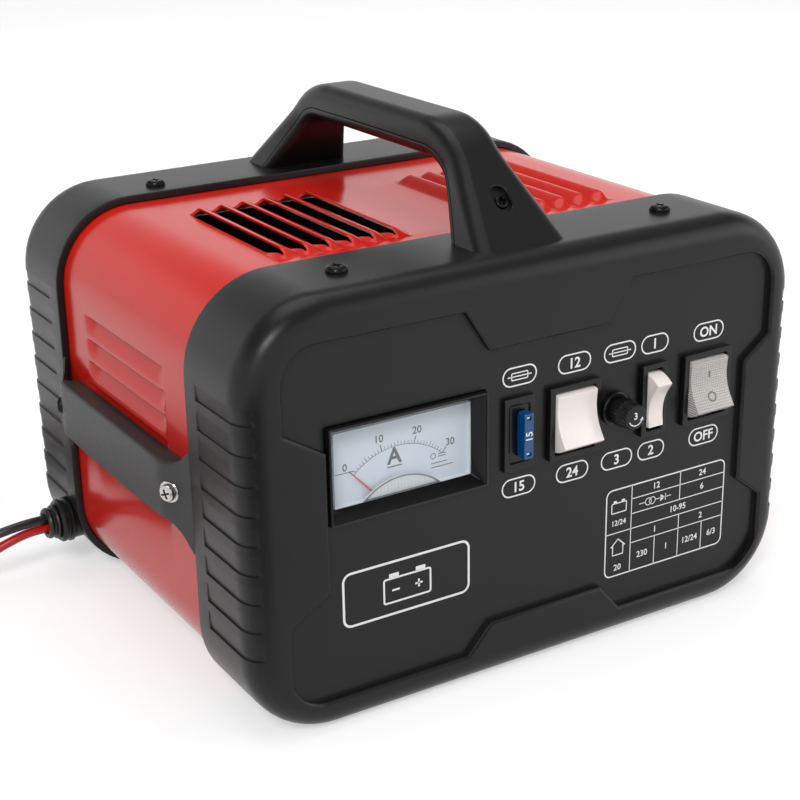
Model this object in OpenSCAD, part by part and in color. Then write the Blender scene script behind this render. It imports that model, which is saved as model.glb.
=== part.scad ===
// Transformer-type car battery charger: two black plastic bezels joined by a
// wrapped steel cover, with a carry handle, a front panel of controls, a side
// bracket and two clamp-ended output leads.
// Every piece is drawn in the body's frame: X across the front, Y from the
// front rim to the back, Z up from the surface that it stands on.

/* [Body] */
// Width across the two bezels
body_w = 260; // [230:1:320]
// Depth from the front rim to the rear rim
body_d = 222; // [200:1:280]
// Height of the bezels, without the handle
body_h = 174; // [165:1:215]
// Radius of the body's four long corners
corner_r = 36; // [32:1:42]

/* [Bezels] */
// Depth of each bezel
bezel_d = 47; // [43:1:56]
// Wall thickness of the bezels
bezel_wall = 3; // [2.4:0.1:3.2]
// Width of the rounded border round each panel
edge_w = 16; // [13:1:18]
// Depth over which the border curves back to the side
edge_d = 12; // [9:1:14]
// Thickness of the front and rear panels at the rim
plate_t = 5.5; // [4.5:0.1:6.5]
// Depth of the recess in the panels
recess_d = 2.4; // [1.5:0.1:3]
// Corner radius of the recess
recess_r = 14; // [10:1:18]
// Half length of a rim tab at its tip
tab_tip = 27.5; // [22:0.5:32]
// Half length of a rim tab at its root
tab_root = 38; // [34:0.5:44]
// Reach of the upper rim tab into the recess
tab_top = 17; // [12:0.5:19]
// Reach of the lower rim tab into the recess
tab_bottom = 11; // [8:0.5:19]
// Reach of the left rim tab into the recess
tab_left = 17; // [12:0.5:18]
// Reach of the right rim tab into the recess
tab_right = 15; // [12:0.5:16]
// Pitch of the side grooves
groove_pitch = 11.7; // [10:0.1:13]
// Height of a side groove
groove_h = 1.7; // [1:0.1:2.5]
// Depth of a side groove
groove_d = 1.3; // [0.8:0.1:1.8]
// Distance of the groove ends from the front rim
groove_reach = 36.6; // [30:0.1:40]
// Number of side grooves
groove_n = 9; // [5:1:9]

/* [Cover and base] */
// Inset of the cover from the bezels' outer face
cover_inset = 3.5; // [3.3:0.1:5]
// Height of the cover's underside
cover_z = 3.5; // [3.4:0.1:14]
// Sheet thickness of the cover
cover_t = 1.2; // [0.8:0.1:1.5]
// Length of the cover inside each bezel
cover_lap = 20; // [18:1:24]
// Width of the cover's turned-under edge
cover_lip = 14; // [10:1:24]
// Thickness of the base plate
base_t = 1.5; // [1:0.1:2.5]
// Length of the louvres
louvre_len = 78; // [60:1:84]
// Pitch of the top louvres
top_pitch = 10.1; // [9:0.1:12]
// Place of the innermost top louvre
top_start = 25.3; // [24:0.1:30]
// Pitch of the side louvres
side_pitch = 10.2; // [9:0.1:12]
// Height of the side louvres' upper edge
side_top = 132.5; // [128:0.5:136]
// Depth of a side louvre behind the cover's face
press_d = 3.2; // [2.8:0.1:4]
// Height of a top louvre's hood
hood_h = 2.6; // [2:0.1:3]
// Width of a top louvre's hood
hood_w = 5.4; // [4.5:0.1:6.5]

/* [Handle] */
// Height of the handle's top above the bezels
handle_rise = 42; // [36:1:60]
// Distance of the handle's feet from the ends of the body
handle_in = 13; // [12:1:20]
// Half width of the handle at its feet
foot_half = 21; // [17:0.5:24]
// Half width of the grip
grip_half = 12; // [10:0.5:14]
// Thickness of the grip
grip_t = 15.5; // [13:0.5:20]
// Wall thickness of the handle's shells
shell_t = 2.6; // [2:0.1:3.2]

/* [Side bracket] */
// Distance of the strap's outer face from the cover
strap_out = 9; // [7:0.5:14]
// Height of the strap
strap_h = 24.5; // [18:0.5:30]
// Thickness of the strap
strap_t = 2; // [1.5:0.1:3]
// Height of the strap's lower edge
strap_z = 77; // [70:1:80]
// Length of the strap's slanting ends along the body
foot_run = 16; // [12:1:20]

/* [Front panel] */
// Height of the controls' centre line
row_z = 103.4; // [98:0.1:108]
// Width of the full-size rocker switches
switch_w = 25; // [24:0.5:27]
// Height of the rocker switches
switch_h = 31; // [30:0.5:33]
// Width of the narrow rocker switch
narrow_w = 13; // [12:0.5:15]
// Half travel of a rocker
rocker_tilt = 14; // [8:1:14]
// Width of the ammeter's opening
meter_w = 70.5; // [64:0.5:74]
// Height of the ammeter's opening
meter_h = 39.5; // [36:0.5:42]
// Diameter of the fuse cap
cap_d = 12; // [10:0.5:13]
// Reach of the fuse cap in front of the rim
cap_out = 11; // [8:0.5:14]

/* [Transformer] */
// Width of the core
core_w = 96; // [84:1:110]
// Height of the core
core_h = 80; // [72:1:90]
// Thickness of the lamination stack
core_t = 45; // [36:1:56]

/* [Leads] */
// Diameter of an output lead
lead_d = 4.2; // [3.6:0.1:4.2]
// Thickness of a battery clamp
clamp_t = 14; // [14:0.5:20]

/* [Hidden] */

$fn = 64;
eps = 0.01;
fit = 0.3;          // gap between pieces that lie beside each other
run_fit = 0.05;     // radial gap of a pin in its bore
arc_n = 14;         // steps of a rounded corner's quarter

// Edges of the body
left_x = -body_w / 2;
mid_y = body_d / 2;
mid_z = body_h / 2;
panel_y = recess_d;
rear_edge = body_d - bezel_d;

// Lead gland on the rear bezel's lower left corner
gland_y = body_d - 35;
gland_z = 26;
gland_boss_d = 18.5;
gland_boss_out = 6;
gland_out = 11.5;
gland_d = 13;
gland_bore = 9.6;
gland_notch = gland_boss_d + 2.6;

// Mains gland on the rear panel
mains_x = 70;
mains_z = 40;
mains_bore = 7.5;
mains_out = 0.6;

// The origin is under the middle of the body with its bracket, gland and cap
reach_left = body_w / 2 + gland_out;
centre_x = (body_w / 2 - reach_left) / 2;
centre_y = (body_d + mains_out - cap_out) / 2;

// Screws of the bezels
screw_x = 76;
front_screw_y = 25.5;
rear_screw_y = body_d - 35;
screw_d = 4;
head_d = 8.6;
head_h = 2.4;

// Cover
cover_w = body_w - 2 * cover_inset;
cover_top = body_h - cover_inset;
cover_h = cover_top - cover_z;
cover_r = corner_r - cover_inset;
cover_y0 = bezel_d - cover_lap;
cover_y1 = rear_edge + cover_lap;
base_z = cover_z + cover_t;
base_top = base_z + base_t;

// Ammeter
meter_x = -60.5;
meter_pivot_z = row_z - 25;
needle_len = 31;
needle_y = panel_y + 6.6;
needle_rest = -43;
window_w = meter_w - 10;
window_h = meter_h - 9.5;

// Controls
blade_x = -10.6;
voltage_x = 14.9;
fuse_x = 37;
boost_x = 55;
power_x = 83;
flange_t = 2;
flange_y = panel_y - flange_t;
rocker_r = 13;
rocker_y = flange_y + 2.6;
rocker_front = 6.6;
rocker_side = 11.2;
switch_wall = 1.1;
switch_deep = 19;
trunnion = 0.6;
blade_out = 7;

// Output leads, from the gland to the coils, and from the coils to the clamps
coil_x = -216;
coil_y = 232;
coil_in = 14;
coil_out = 32;
layer = 8.6;
red_route = [[-118, 187, 23.8], [-130, 187, 23.8], [-141, 187, 23.8], [-150, 187, 23.4], [-159, 187.5, 21],
    [-168, 190, 16.5], [-176, 195, 11], [-182, 203, 6.5], [-185.5, 213, 3.6], [-186.5, 222, 2.3], [-186.5, 231.5, 2.2]];
black_route = [[-118, 187, 28.2], [-130, 187, 28.2], [-141, 187, 28.2], [-150, 187, 28.1], [-159, 187.5, 27],
    [-168, 190, 24.3], [-176, 195, 20.6], [-182, 203, 17], [-185.5, 213, 13.8], [-186.5, 222, 11.5], [-186.5, 231.5, 10.9]];
red_tail = [[-186.5, 232, 6.2], [-187, 242, 6.3], [-189.5, 252, 6.6], [-193, 262, 7], [-195, 271, 7], [-195, 279, 7]];
black_tail = [[-186.5, 232, 15], [-186, 242, 14.2], [-184.8, 252, 11.8], [-183, 262, 8.5], [-182, 271, 7], [-182, 279, 7]];
red_clamp_at = [-212, 318, 0];
black_clamp_at = [-165, 318, 0];
clamp_tail = 46;    // from the clamp's pin to the ends of its arms
clamp_nose = 33;    // from the clamp's pin to its tip
clamp_lead_x = 17;  // from the clamp's middle to its lead

// ---------------------------------------------------------------- helpers

function arc(c, r, a0, a1, n) =
    [for (i = [0 : n]) let (a = a0 + (a1 - a0) * i / n) [c[0] + r * cos(a), c[1] + r * sin(a)]];

// Outline of a rounded rectangle about the origin
function rounded(w, h, r) = concat(
    arc([w / 2 - r, h / 2 - r], r, 0, 90, arc_n),
    arc([r - w / 2, h / 2 - r], r, 90, 180, arc_n),
    arc([r - w / 2, r - h / 2], r, 180, 270, arc_n),
    arc([w / 2 - r, r - h / 2], r, 270, 360, arc_n));

function unit(v) = v / norm(v);

// A path through the points p, with a fillet of radius r at each inner point
function filleted(p, r, n = 8) = [
    for (i = [0 : len(p) - 1])
        let (inner = i > 0 && i < len(p) - 1)
        let (a = inner ? unit(p[i - 1] - p[i]) : [1, 0])
        let (b = inner ? unit(p[i + 1] - p[i]) : [0, 1])
        let (half = acos(a * b) / 2)
        let (c = p[i] + unit(a + b) * r / sin(half))
        let (from = p[i] + a * r / tan(half) - c)
        let (to = p[i] + b * r / tan(half) - c)
        let (a0 = atan2(from[1], from[0]))
        let (turn = atan2(from[0] * to[1] - from[1] * to[0], from * to))
        for (k = [0 : inner ? n : 0])
            inner ? c + r * [cos(a0 + turn * k / n), sin(a0 + turn * k / n)] : p[i]];

module place() {
    translate([-centre_x, -centre_y, 0]) children();
}

// A flat shape in X and Z, from depth y0 to y0 + t
module upright(y0, t) {
    translate([0, y0 + t, 0]) rotate([90, 0, 0]) linear_extrude(t) children();
}

// A profile in Y and Z, centred on X
module across(w) {
    rotate([90, 0, 90]) translate([0, 0, -w / 2]) linear_extrude(w) children();
}

module rod_y(d, y0, y1) {
    translate([0, y0, 0]) rotate([-90, 0, 0]) cylinder(d = d, h = y1 - y0);
}

module rod_x(d, x0, x1) {
    translate([x0, 0, 0]) rotate([0, 90, 0]) cylinder(d = d, h = x1 - x0);
}

module box(x0, x1, y0, y1, z0, z1) {
    translate([x0, y0, z0]) cube([x1 - x0, y1 - y0, z1 - z0]);
}

// A round tube of eight sides along the points p
module tube(p, d) {
    sides = 8;
    last = len(p) - 1;
    tangent = [for (i = [0 : last]) unit(p[min(i + 1, last)] - p[max(i - 1, 0)])];
    ring = [for (i = [0 : last])
        let (side = unit(cross(tangent[i], [0, 0, 1])))
        let (up = cross(side, tangent[i]))
        for (k = [0 : sides - 1])
            p[i] + d / 2 * (side * cos(360 * k / sides) + up * sin(360 * k / sides))];
    walls = [for (i = [0 : last - 1]) for (k = [0 : sides - 1])
        let (k1 = (k + 1) % sides)
        [i * sides + k, i * sides + k1, (i + 1) * sides + k1, (i + 1) * sides + k]];
    near = [[for (k = [0 : sides - 1]) sides - 1 - k]];
    far = [[for (k = [0 : sides - 1]) last * sides + k]];
    polyhedron(ring, concat(walls, near, far));
}

// ---------------------------------------------------------------- bezels

// The border's curve, from the flat panel to the side; x is outward, y is depth
function border(inset) = [
    for (i = [0 : 9])
        let (a = 10 * i)
        [corner_r - edge_w + (edge_w - inset) * pow(sin(a), 0.8),
         inset + (edge_d - inset) * (1 - pow(cos(a), 0.8))]];

module bezel_profile() {
    outer = concat([[0, 0]], border(0), [[corner_r, edge_d], [corner_r, bezel_d]]);
    inner_r = corner_r - bezel_wall;
    inner = concat([[inner_r, bezel_d], [inner_r, edge_d + bezel_wall]],
        [[inner_r - 5, plate_t + 1.5], [inner_r - 10, plate_t], [0, plate_t]]);
    polygon(concat(outer, inner));
}

// The bezel's shell: straight runs and round corners of one profile, and the panel
module bezel_shell() {
    translate([0, 0, mid_z]) {
        for (k = [0 : 3]) {
            half = [body_w / 2 - corner_r, body_h / 2 - corner_r];
            along = k % 2 == 0 ? half[1] : half[0];
            out = k % 2 == 0 ? half[0] : half[1];
            rotate([0, 90 * k, 0]) {
                translate([out, 0, -along]) linear_extrude(2 * along) bezel_profile();
                translate([out, 0, along]) rotate([-90, 0, 0]) rotate([0, 0, 270])
                    rotate_extrude(angle = 90) bezel_profile();
            }
        }
        box(corner_r - body_w / 2, body_w / 2 - corner_r, 0, plate_t,
            corner_r - body_h / 2, body_h / 2 - corner_r);
    }
}

// The recess's outline, with a slanting tab in the middle of each side
module tab(reach) {
    polygon([[-tab_root, 0], [-tab_tip, -reach], [tab_tip, -reach], [tab_root, 0]]);
}

module recess_shape() {
    w = body_w - 2 * edge_w;
    h = body_h - 2 * edge_w;
    difference() {
        polygon(rounded(w, h, recess_r));
        translate([0, h / 2]) tab(tab_bottom);
        rotate(90) translate([0, w / 2]) tab(tab_left);
        rotate(180) translate([0, h / 2]) tab(tab_top);
        rotate(270) translate([0, w / 2]) tab(tab_right);
    }
}

module recess() {
    w = body_w / 2 - edge_w;
    h = body_h / 2 - edge_w;
    translate([0, -eps, mid_z]) rotate([-90, 0, 0])
        linear_extrude(recess_d + eps, scale = [1 - recess_d / w, 1 - recess_d / h], slices = 1)
            recess_shape();
}

// One side groove, of height h and depth d, following the border's curve
module groove(z, h, d) {
    line = border(0);
    far = [for (p = line) [p[0] - corner_r + body_w / 2 + 1, p[1] - 1]];
    near = [for (i = [len(line) - 1 : -1 : 0]) [line[i][0] - corner_r + body_w / 2 - d * sin(10 * i),
        line[i][1] + d * cos(10 * i)]];
    skip = 3;
    shape = concat([for (i = [skip : len(line) - 1]) far[i]],
        [[body_w / 2 + 1, groove_reach], [body_w / 2 - d, groove_reach]],
        [for (i = [0 : len(line) - 1 - skip]) near[i]]);
    for (side = [0, 1])
        mirror([side, 0, 0]) translate([0, 0, z]) linear_extrude(h) polygon(shape);
}

module grooves() {
    for (k = [0 : groove_n - 1]) {
        z = mid_z - 1.5 + groove_pitch * ((groove_n - 1) / 2 - k);
        groove(z - groove_h / 2, groove_h, groove_d);
    }
}

// Clearance holes through the bezel's walls, with a sunk seat underneath
module bezel_holes(y) {
    for (x = [-screw_x, screw_x]) {
        translate([x, y, body_h - bezel_wall - 1]) cylinder(d = screw_d + 0.4, h = bezel_wall + 2);
        translate([x, y, -1]) cylinder(d = screw_d + 0.4, h = cover_z + 2);
        translate([x, y, -1]) cylinder(d = head_d + 1, h = head_h + 1.4);
    }
}

// Pillars under the cover, round the lower screws
module pillars(y) {
    for (x = [-screw_x, screw_x])
        translate([x, y, bezel_wall - 1]) cylinder(d = 13, h = cover_z - bezel_wall + 1);
}

module foot_holes(y) {
    for (x = [-foot_bolt_x, foot_bolt_x])
        translate([x, y, body_h - bezel_wall - 1]) cylinder(d = screw_d + 0.4, h = bezel_wall + 2);
}

foot_bolt_x = 12;
foot_bolt_y = handle_in + 12;

module panel_window(x, w, h, z = row_z) {
    box(x - w / 2, x + w / 2, -1, plate_t + 1, z - h / 2, z + h / 2);
}

module front_bezel() {
    color("#333333") place() difference() {
        union() {
            bezel_shell();
            pillars(front_screw_y);
        }
        recess();
        grooves();
        bezel_holes(front_screw_y);
        foot_holes(foot_bolt_y);
        panel_window(meter_x, meter_w, meter_h, row_z + 1.2);
        panel_window(blade_x, 12.5, 28.5);
        panel_window(voltage_x, switch_w - 2, switch_h - 2);
        panel_window(power_x, switch_w - 2, switch_h - 2);
        panel_window(boost_x, narrow_w - 2, switch_h - 2);
        translate([fuse_x, 0, row_z]) rod_y(cap_d, -1, plate_t + 1);
    }
}

// Vent slots in the rear panel, in the mirrored bezel's own frame
vent_n = 9;
module vents() {
    for (k = [0 : vent_n - 1]) for (side = [-1, 1])
        translate([side * 38 + (k - (vent_n - 1) / 2) * 7.5, 0, mid_z + 8])
            box(-2, 2, -1, plate_t + 1, -24, 24);
}

module rear_bezel() {
    color("#3a3a3a") place() difference() {
        union() {
            translate([0, body_d, 0]) mirror([0, 1, 0]) union() {
                bezel_shell();
                pillars(body_d - rear_screw_y);
            }
            difference() {
                translate([0, gland_y, gland_z]) rod_x(gland_boss_d, left_x - gland_boss_out, left_x + 14);
                translate([0, gland_y, gland_z]) rod_x(gland_d + 2, left_x + bezel_wall + 4, left_x + 15);
            }
            for (k = [0, 1])
                translate([0, gland_y, gland_z])
                    rod_x(gland_boss_d + 1.6, left_x - 4.4 + 3 * k, left_x - 3.2 + 3 * k);
        }
        translate([0, body_d, 0]) mirror([0, 1, 0]) {
            recess();
            grooves();
            vents();
            bezel_holes(body_d - rear_screw_y);
            foot_holes(foot_bolt_y);
            translate([mains_x, 0, mains_z]) rod_y(14.4, -1, plate_t + 1);
        }
        translate([0, gland_y, gland_z]) rod_x(gland_d + 0.2, left_x - gland_boss_out - 1, left_x + 15);
    }
}

// ---------------------------------------------------------------- cover and base

// A hood pushed up over a slit, closed at both ends
module hood() {
    difference() {
        translate([0, louvre_len / 2, 0]) rotate([90, 0, 0]) linear_extrude(louvre_len)
            polygon([[0, -cover_t / 2], [0, hood_h], [1, hood_h], [hood_w * 0.6, hood_h * 0.72],
                [hood_w, 0], [hood_w, -cover_t / 2]]);
        translate([0, louvre_len / 2 - 2.4, 0]) rotate([90, 0, 0]) linear_extrude(louvre_len - 4.8)
            polygon([[-1, -cover_t], [-1, hood_h - 0.9], [0.9, hood_h - 0.9],
                [hood_w * 0.6 - 0.7, hood_h * 0.72 - 0.8], [hood_w - 1.4, -cover_t]]);
    }
}

module slit() {
    box(-0.1, hood_w - 1.4, 2.4 - louvre_len / 2, louvre_len / 2 - 2.4, -cover_t - 1, 1);
}

module at_top_louvres() {
    for (side = [0, 1]) for (k = [0 : 5])
        mirror([side, 0, 0]) translate([top_start + top_pitch * k + 1, mid_y - 6, cover_top])
            mirror([1, 0, 0]) children();
}

side_rows = 4;
module at_side_louvres() {
    for (side = [0, 1]) for (k = [0 : side_rows - 1])
        mirror([side, 0, 0]) translate([cover_w / 2, mid_y + 2, side_top - side_pitch * k]) children();
}

// A side louvre is pressed inwards, open at its upper edge, with a ramp back out below
module ramp(long, p) {
    translate([0, long / 2, 0]) rotate([90, 0, 0]) linear_extrude(long) polygon(p);
}

module pressing() {
    ramp(louvre_len, [[-0.3, 0], [-press_d - cover_t, 0], [-cover_t - 0.5, -side_pitch + 1.4],
        [-0.3, -side_pitch + 1.4]]);
}

module pressed_slit() {
    ramp(louvre_len - 2.4, [[1, 0], [-press_d, 0], [-press_d, -1], [0, -side_pitch + 2.4], [1, -side_pitch + 2.4]]);
    ramp(louvre_len - 2.4, [[-cover_t, -0.1], [-cover_t, 1], [-press_d, 1], [-press_d, -0.1]]);
}

module cover_outline(inset) {
    polygon(rounded(cover_w - 2 * inset, cover_h - 2 * inset, cover_r - inset));
}

module wrap_cover() {
    color("#c8281f") place() difference() {
        union() {
            translate([0, 0, cover_z + cover_h / 2]) upright(cover_y0, cover_y1 - cover_y0) difference() {
                cover_outline(0);
                cover_outline(cover_t);
                translate([0, -cover_h / 2])
                    square([cover_w - 2 * (cover_r + cover_lip), 4 * cover_t], center = true);
            }
            at_top_louvres() hood();
            at_side_louvres() pressing();
        }
        at_top_louvres() slit();
        at_side_louvres() pressed_slit();
        for (x = [-screw_x, screw_x]) for (y = [front_screw_y, rear_screw_y]) {
            translate([x, y, cover_top - 5]) cylinder(d = screw_d + 0.3, h = 8);
        }
        for (x = [-base_screw_x, base_screw_x]) for (y = base_screw_y)
            translate([x, y, cover_z - 1]) cylinder(d = screw_d + 0.3, h = 5);
        for (y = strap_screw_y)
            translate([0, y, strap_mid]) rod_x(screw_d + 0.3, left_x, left_x + 10);
        for (x = [-foot_bolt_x, foot_bolt_x]) for (y = [foot_bolt_y, body_d - foot_bolt_y])
            translate([x, y, cover_top - 5]) cylinder(d = head_d + 1.4, h = 8);
        box(left_x, left_x + 25, gland_y - gland_notch / 2, cover_y1 + 1,
            gland_z - gland_notch / 2, gland_z + gland_notch / 2);
    }
}

base_screw_x = cover_w / 2 - cover_r - cover_lip / 2;
base_screw_y = [front_screw_y + 40, rear_screw_y - 40];
lower_screw_y = [front_screw_y, rear_screw_y];
core_y = mid_y + 8;
core_x = -4;
frame_foot = 14;
frame_bolt_x = core_w / 2 + 9;

module base_plate() {
    half = cover_w / 2 - cover_r - 0.5;
    color("#8d9093") place() difference() {
        box(-half, half, cover_y0 + 1, cover_y1 - 1, base_z, base_top);
        for (x = [-base_screw_x, base_screw_x]) for (y = base_screw_y)
            translate([x, y, base_z - 1]) cylinder(d = screw_d + 0.3, h = base_t + 2);
        for (x = [-screw_x, screw_x]) for (y = lower_screw_y)
            translate([x, y, base_z - 1]) cylinder(d = screw_d + 0.3, h = base_t + 2);
        for (x = [core_x - frame_bolt_x, core_x + frame_bolt_x])
            translate([x, core_y, base_z - 1]) cylinder(d = screw_d + 0.3, h = base_t + 2);
    }
}

// A pan head screw along -Z, its head's underside at z = 0
module pan_screw(d, head, h, long) {
    difference() {
        union() {
            rotate_extrude() polygon(concat([[0, 0], [head / 2, 0]],
                arc([head / 2 - h * 0.7, h * 0.3], h * 0.7, 0, 90, 5), [[0, h]]));
            translate([0, 0, -long]) cylinder(d = d, h = long);
        }
        for (a = [0, 90])
            rotate(a) translate([0, 0, h]) cube([head * 0.55, 1.1, h * 1.1], center = true);
    }
}

module bezel_screws() {
    color("#1f1f1f") place()
        for (x = [-screw_x, screw_x]) for (y = lower_screw_y) {
            translate([x, y, body_h]) pan_screw(screw_d, head_d, head_h, 10);
            translate([x, y, head_h + 0.4]) rotate([180, 0, 0]) pan_screw(screw_d, head_d, head_h - 0.4, 14);
        }
}

module base_screws() {
    color("#b5b8bb") place()
        for (x = [-base_screw_x, base_screw_x]) for (y = base_screw_y)
            translate([x, y, cover_z]) rotate([180, 0, 0]) pan_screw(screw_d, head_d - 1, head_h, 7);
}

// ---------------------------------------------------------------- handle

handle_z0 = body_h;
handle_top = body_h + handle_rise;
arch_in = 43.6;     // distance along the body from a foot's face to the grip's end
lean = arch_in / handle_rise;

// The arch's outline from foot to foot, moved in by t
function arch(t) =
    let (y0 = handle_in + t * 1.36)
    let (top = handle_top - t)
    let (yc = y0 + lean * (top - handle_z0))
    filleted([[y0, handle_z0], [yc, top], [body_d - yc, top], [body_d - y0, handle_z0]], max(30 - t, 8));

inner_y = 23;     // depth of a foot along the body
inner_lean = 0.88;  // distance along the body over height, of the legs' inner side

// The arch's inner outline, moved out by t
function under(t) =
    let (y0 = handle_in + inner_y - 1.34 * t)
    let (top = handle_top - grip_t + t)
    let (yc = y0 + inner_lean * (top - handle_z0))
    filleted([[y0, handle_z0], [yc, top], [body_d - yc, top], [body_d - y0, handle_z0]],
        (16 + 0.85 * t) * handle_rise / 42);

// The legs' outline from the front: wide at the foot and narrow at the grip
module handle_front(t) {
    f = foot_half - t;
    g = grip_half - t;
    waist = handle_z0 + handle_rise * 0.72;
    polygon([[-f, handle_z0 - 1], [-f, handle_z0], [-g, waist], [-g, handle_top + 1],
        [g, handle_top + 1], [g, waist], [f, handle_z0], [f, handle_z0 - 1]]);
}

function backward(p) = [for (i = [len(p) - 1 : -1 : 0]) p[i]];

seam_t = grip_t / 2 - 0.5;  // depth of the inner shell behind its face

module arched(side_t) {
    intersection() {
        across(4 * foot_half) children();
        upright(0, body_d) handle_front(side_t);
    }
}

module above_seam() {
    arched(0) polygon(concat(arch(0), backward(under(seam_t))));
}

// The screws through the pockets in the two legs, square to the legs' faces
leg_tilt = atan(lean);
pocket_h = 15;
pocket_y = handle_in + lean * pocket_h;
pocket_z = handle_z0 + pocket_h;
pocket_d = 7.6;
pocket_deep = 2.2;
module at_pockets() {
    for (end = [0, 1])
        translate([0, end * body_d, 0]) mirror([0, end, 0])
            translate([0, pocket_y, pocket_z]) rotate([90 - leg_tilt, 0, 0]) children();
}

module pocket(d, z0, z1) {
    for (y = [0, 2.4])
        translate([0, y, z0]) cylinder(d = d, h = z1 - z0);
    translate([-d / 2, 0, z0]) cube([d, 2.4, z1 - z0]);
}

module handle_outer_shell() {
    color("#2b2b2b") place() difference() {
        union() {
            difference() {
                above_seam();
                arched(shell_t) polygon(concat(arch(shell_t), [[body_d / 2, handle_z0 - 1]]));
            }
            intersection() {
                above_seam();
                at_pockets() pocket(pocket_d + 3, -pocket_deep - 2, 2);
            }
        }
        at_pockets() pocket(pocket_d, -pocket_deep, 5);
        at_pockets() translate([0, 0, -12]) cylinder(d = 3.3, h = 12);
    }
}

module handle_inner_shell() {
    color("#262626") place() difference() {
        arched(0) polygon(concat(under(seam_t - 0.1), backward(under(0))));
        arched(shell_t) polygon(concat(arch(0), backward(under(shell_t))));
    }
}

module handle_screws() {
    color("#1f1f1f") place() at_pockets() translate([0, 0, -pocket_deep]) pan_screw(3, 6, 1.6, 7);
}

module handle_bolts() {
    color("#8d9093") place() for (end = [0, 1])
        translate([0, end * body_d, 0]) mirror([0, end, 0])
            for (x = [-foot_bolt_x, foot_bolt_x])
                translate([x, foot_bolt_y, body_h - bezel_wall]) rotate([180, 0, 0])
                    pan_screw(screw_d, head_d, head_h, bezel_wall + 3);
}

// ---------------------------------------------------------------- side bracket

strap_mid = strap_z + strap_h / 2;
cover_x = -cover_w / 2;
strap_y0 = bezel_d + 0.6;
strap_y1 = rear_edge - 0.6;
strap_face = cover_x - strap_out;
foot_flat = 10;
strap_screw_y = [strap_y0 + foot_flat / 2, strap_y1 - foot_flat / 2];

function strap_line(t) = [
    [cover_x - fit - t, strap_y0], [cover_x - fit - t, strap_y0 + foot_flat - t / 2],
    [strap_face + strap_t - t, strap_y0 + foot_flat + foot_run * 0.6 - t / 2],
    [strap_face + strap_t - t, strap_y1 - foot_flat - foot_run * 0.6 + t / 2],
    [cover_x - fit - t, strap_y1 - foot_flat + t / 2], [cover_x - fit - t, strap_y1]];

module side_bracket() {
    top = strap_z + strap_h;
    color("#3d3d3f") place() difference() {
        union() {
            translate([0, 0, strap_z]) linear_extrude(strap_h)
                polygon(concat(strap_line(0), backward(strap_line(strap_t))));
            translate([0, 0, top - strap_t]) linear_extrude(strap_t)
                polygon(concat(strap_line(0.5), [[cover_x - fit, strap_y1], [cover_x - fit, strap_y0]]));
            for (end = [0, 1])
                translate([0, end * body_d, 0]) mirror([0, end, 0])
                    translate([cover_x - fit - strap_t, 0, 0]) rotate([90, 0, 90]) linear_extrude(strap_t)
                        polygon([[strap_y0, strap_z - 12], [strap_y0 + 3, strap_z - 12],
                            [strap_y0 + foot_flat, strap_z], [strap_y0 + foot_flat, top],
                            [strap_y0 + 2, top + 4], [strap_y0, top + 4]]);
        }
        for (y = strap_screw_y)
            translate([0, y, strap_mid]) rod_x(screw_d + 0.3, cover_x - 6, cover_x + 1);
    }
}

module bracket_screws() {
    color("#b5b8bb") place() for (y = strap_screw_y)
        translate([cover_x - fit - strap_t, y, strap_mid]) rotate([0, -90, 0])
            pan_screw(screw_d, 8, 2.2, 8);
}

// ---------------------------------------------------------------- ammeter

module meter_housing() {
    nose_w = meter_w - 2 * fit;
    nose_h = meter_h - 2 * fit;
    nose_z = row_z + 1.2;
    back_y = plate_t + fit;
    low = meter_pivot_z - 13;
    color("#202020") place() difference() {
        union() {
            translate([meter_x, 0, nose_z]) box(-nose_w / 2, nose_w / 2, flange_y, back_y + 1,
                -nose_h / 2, nose_h / 2);
            box(meter_x - meter_w / 2 - 2, meter_x + meter_w / 2 + 2, back_y, 34,
                low, nose_z + meter_h / 2 + 2);
        }
        // Sloping frame round the window
        translate([meter_x, flange_y - 0.1, nose_z]) rotate([-90, 0, 0])
            linear_extrude(5.2, scale = [window_w / (nose_w - 2), window_h / (nose_h - 2)], slices = 1)
                square([nose_w - 2, nose_h - 2], center = true);
        box(meter_x - window_w / 2, meter_x + window_w / 2, panel_y, 20,
            nose_z - window_h / 2, nose_z + window_h / 2);
        box(meter_x - window_w / 2 - 1.6, meter_x + window_w / 2 + 1.6, panel_y + 3.4, 32,
            low + 2, nose_z + window_h / 2 + 1.6);
    }
}

module meter_dial() {
    nose_z = row_z + 1.2;
    color("#eef3f8") place() difference() {
        box(meter_x - window_w / 2 - 1.4, meter_x + window_w / 2 + 1.4, panel_y + 7.6, panel_y + 8.4,
            meter_pivot_z + 6, nose_z + window_h / 2 + 1.4);
        translate([meter_x, 0, meter_pivot_z]) rod_y(15, panel_y, panel_y + 12);
    }
}

module meter_lens() {
    nose_z = row_z + 1.2;
    color("#dfe9ef", 0.4) place()
        box(meter_x - window_w / 2 - 1.4, meter_x + window_w / 2 + 1.4, panel_y + 3.5, panel_y + 4.7,
            nose_z - window_h / 2 - 1.4, nose_z + window_h / 2 + 1.4);
}

// The half-moon cover over the needle's pivot, behind the lens
module meter_pivot_cover() {
    nose_z = row_z + 1.2;
    low = nose_z - window_h / 2 - 1.4;
    color("#e9eef2") place() intersection() {
        translate([meter_x, 0, meter_pivot_z - 7.5]) rod_y(50, panel_y + 4.8, panel_y + 5.6);
        box(meter_x - 22, meter_x + 22, panel_y, panel_y + 8, low, nose_z);
    }
}

module meter_magnet() {
    color("#5f6468") place() translate([meter_x, 0, meter_pivot_z]) difference() {
        rod_y(28, 14, 26);
        rod_y(20, 13, 27);
        box(-20, 20, 13, 27, -20, -10.8);
        box(-4, 4, 13, 27, 0, 20);
    }
}

module at_needle() {
    translate([meter_x, 0, meter_pivot_z]) rotate([0, needle_rest, 0]) children();
}

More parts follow.
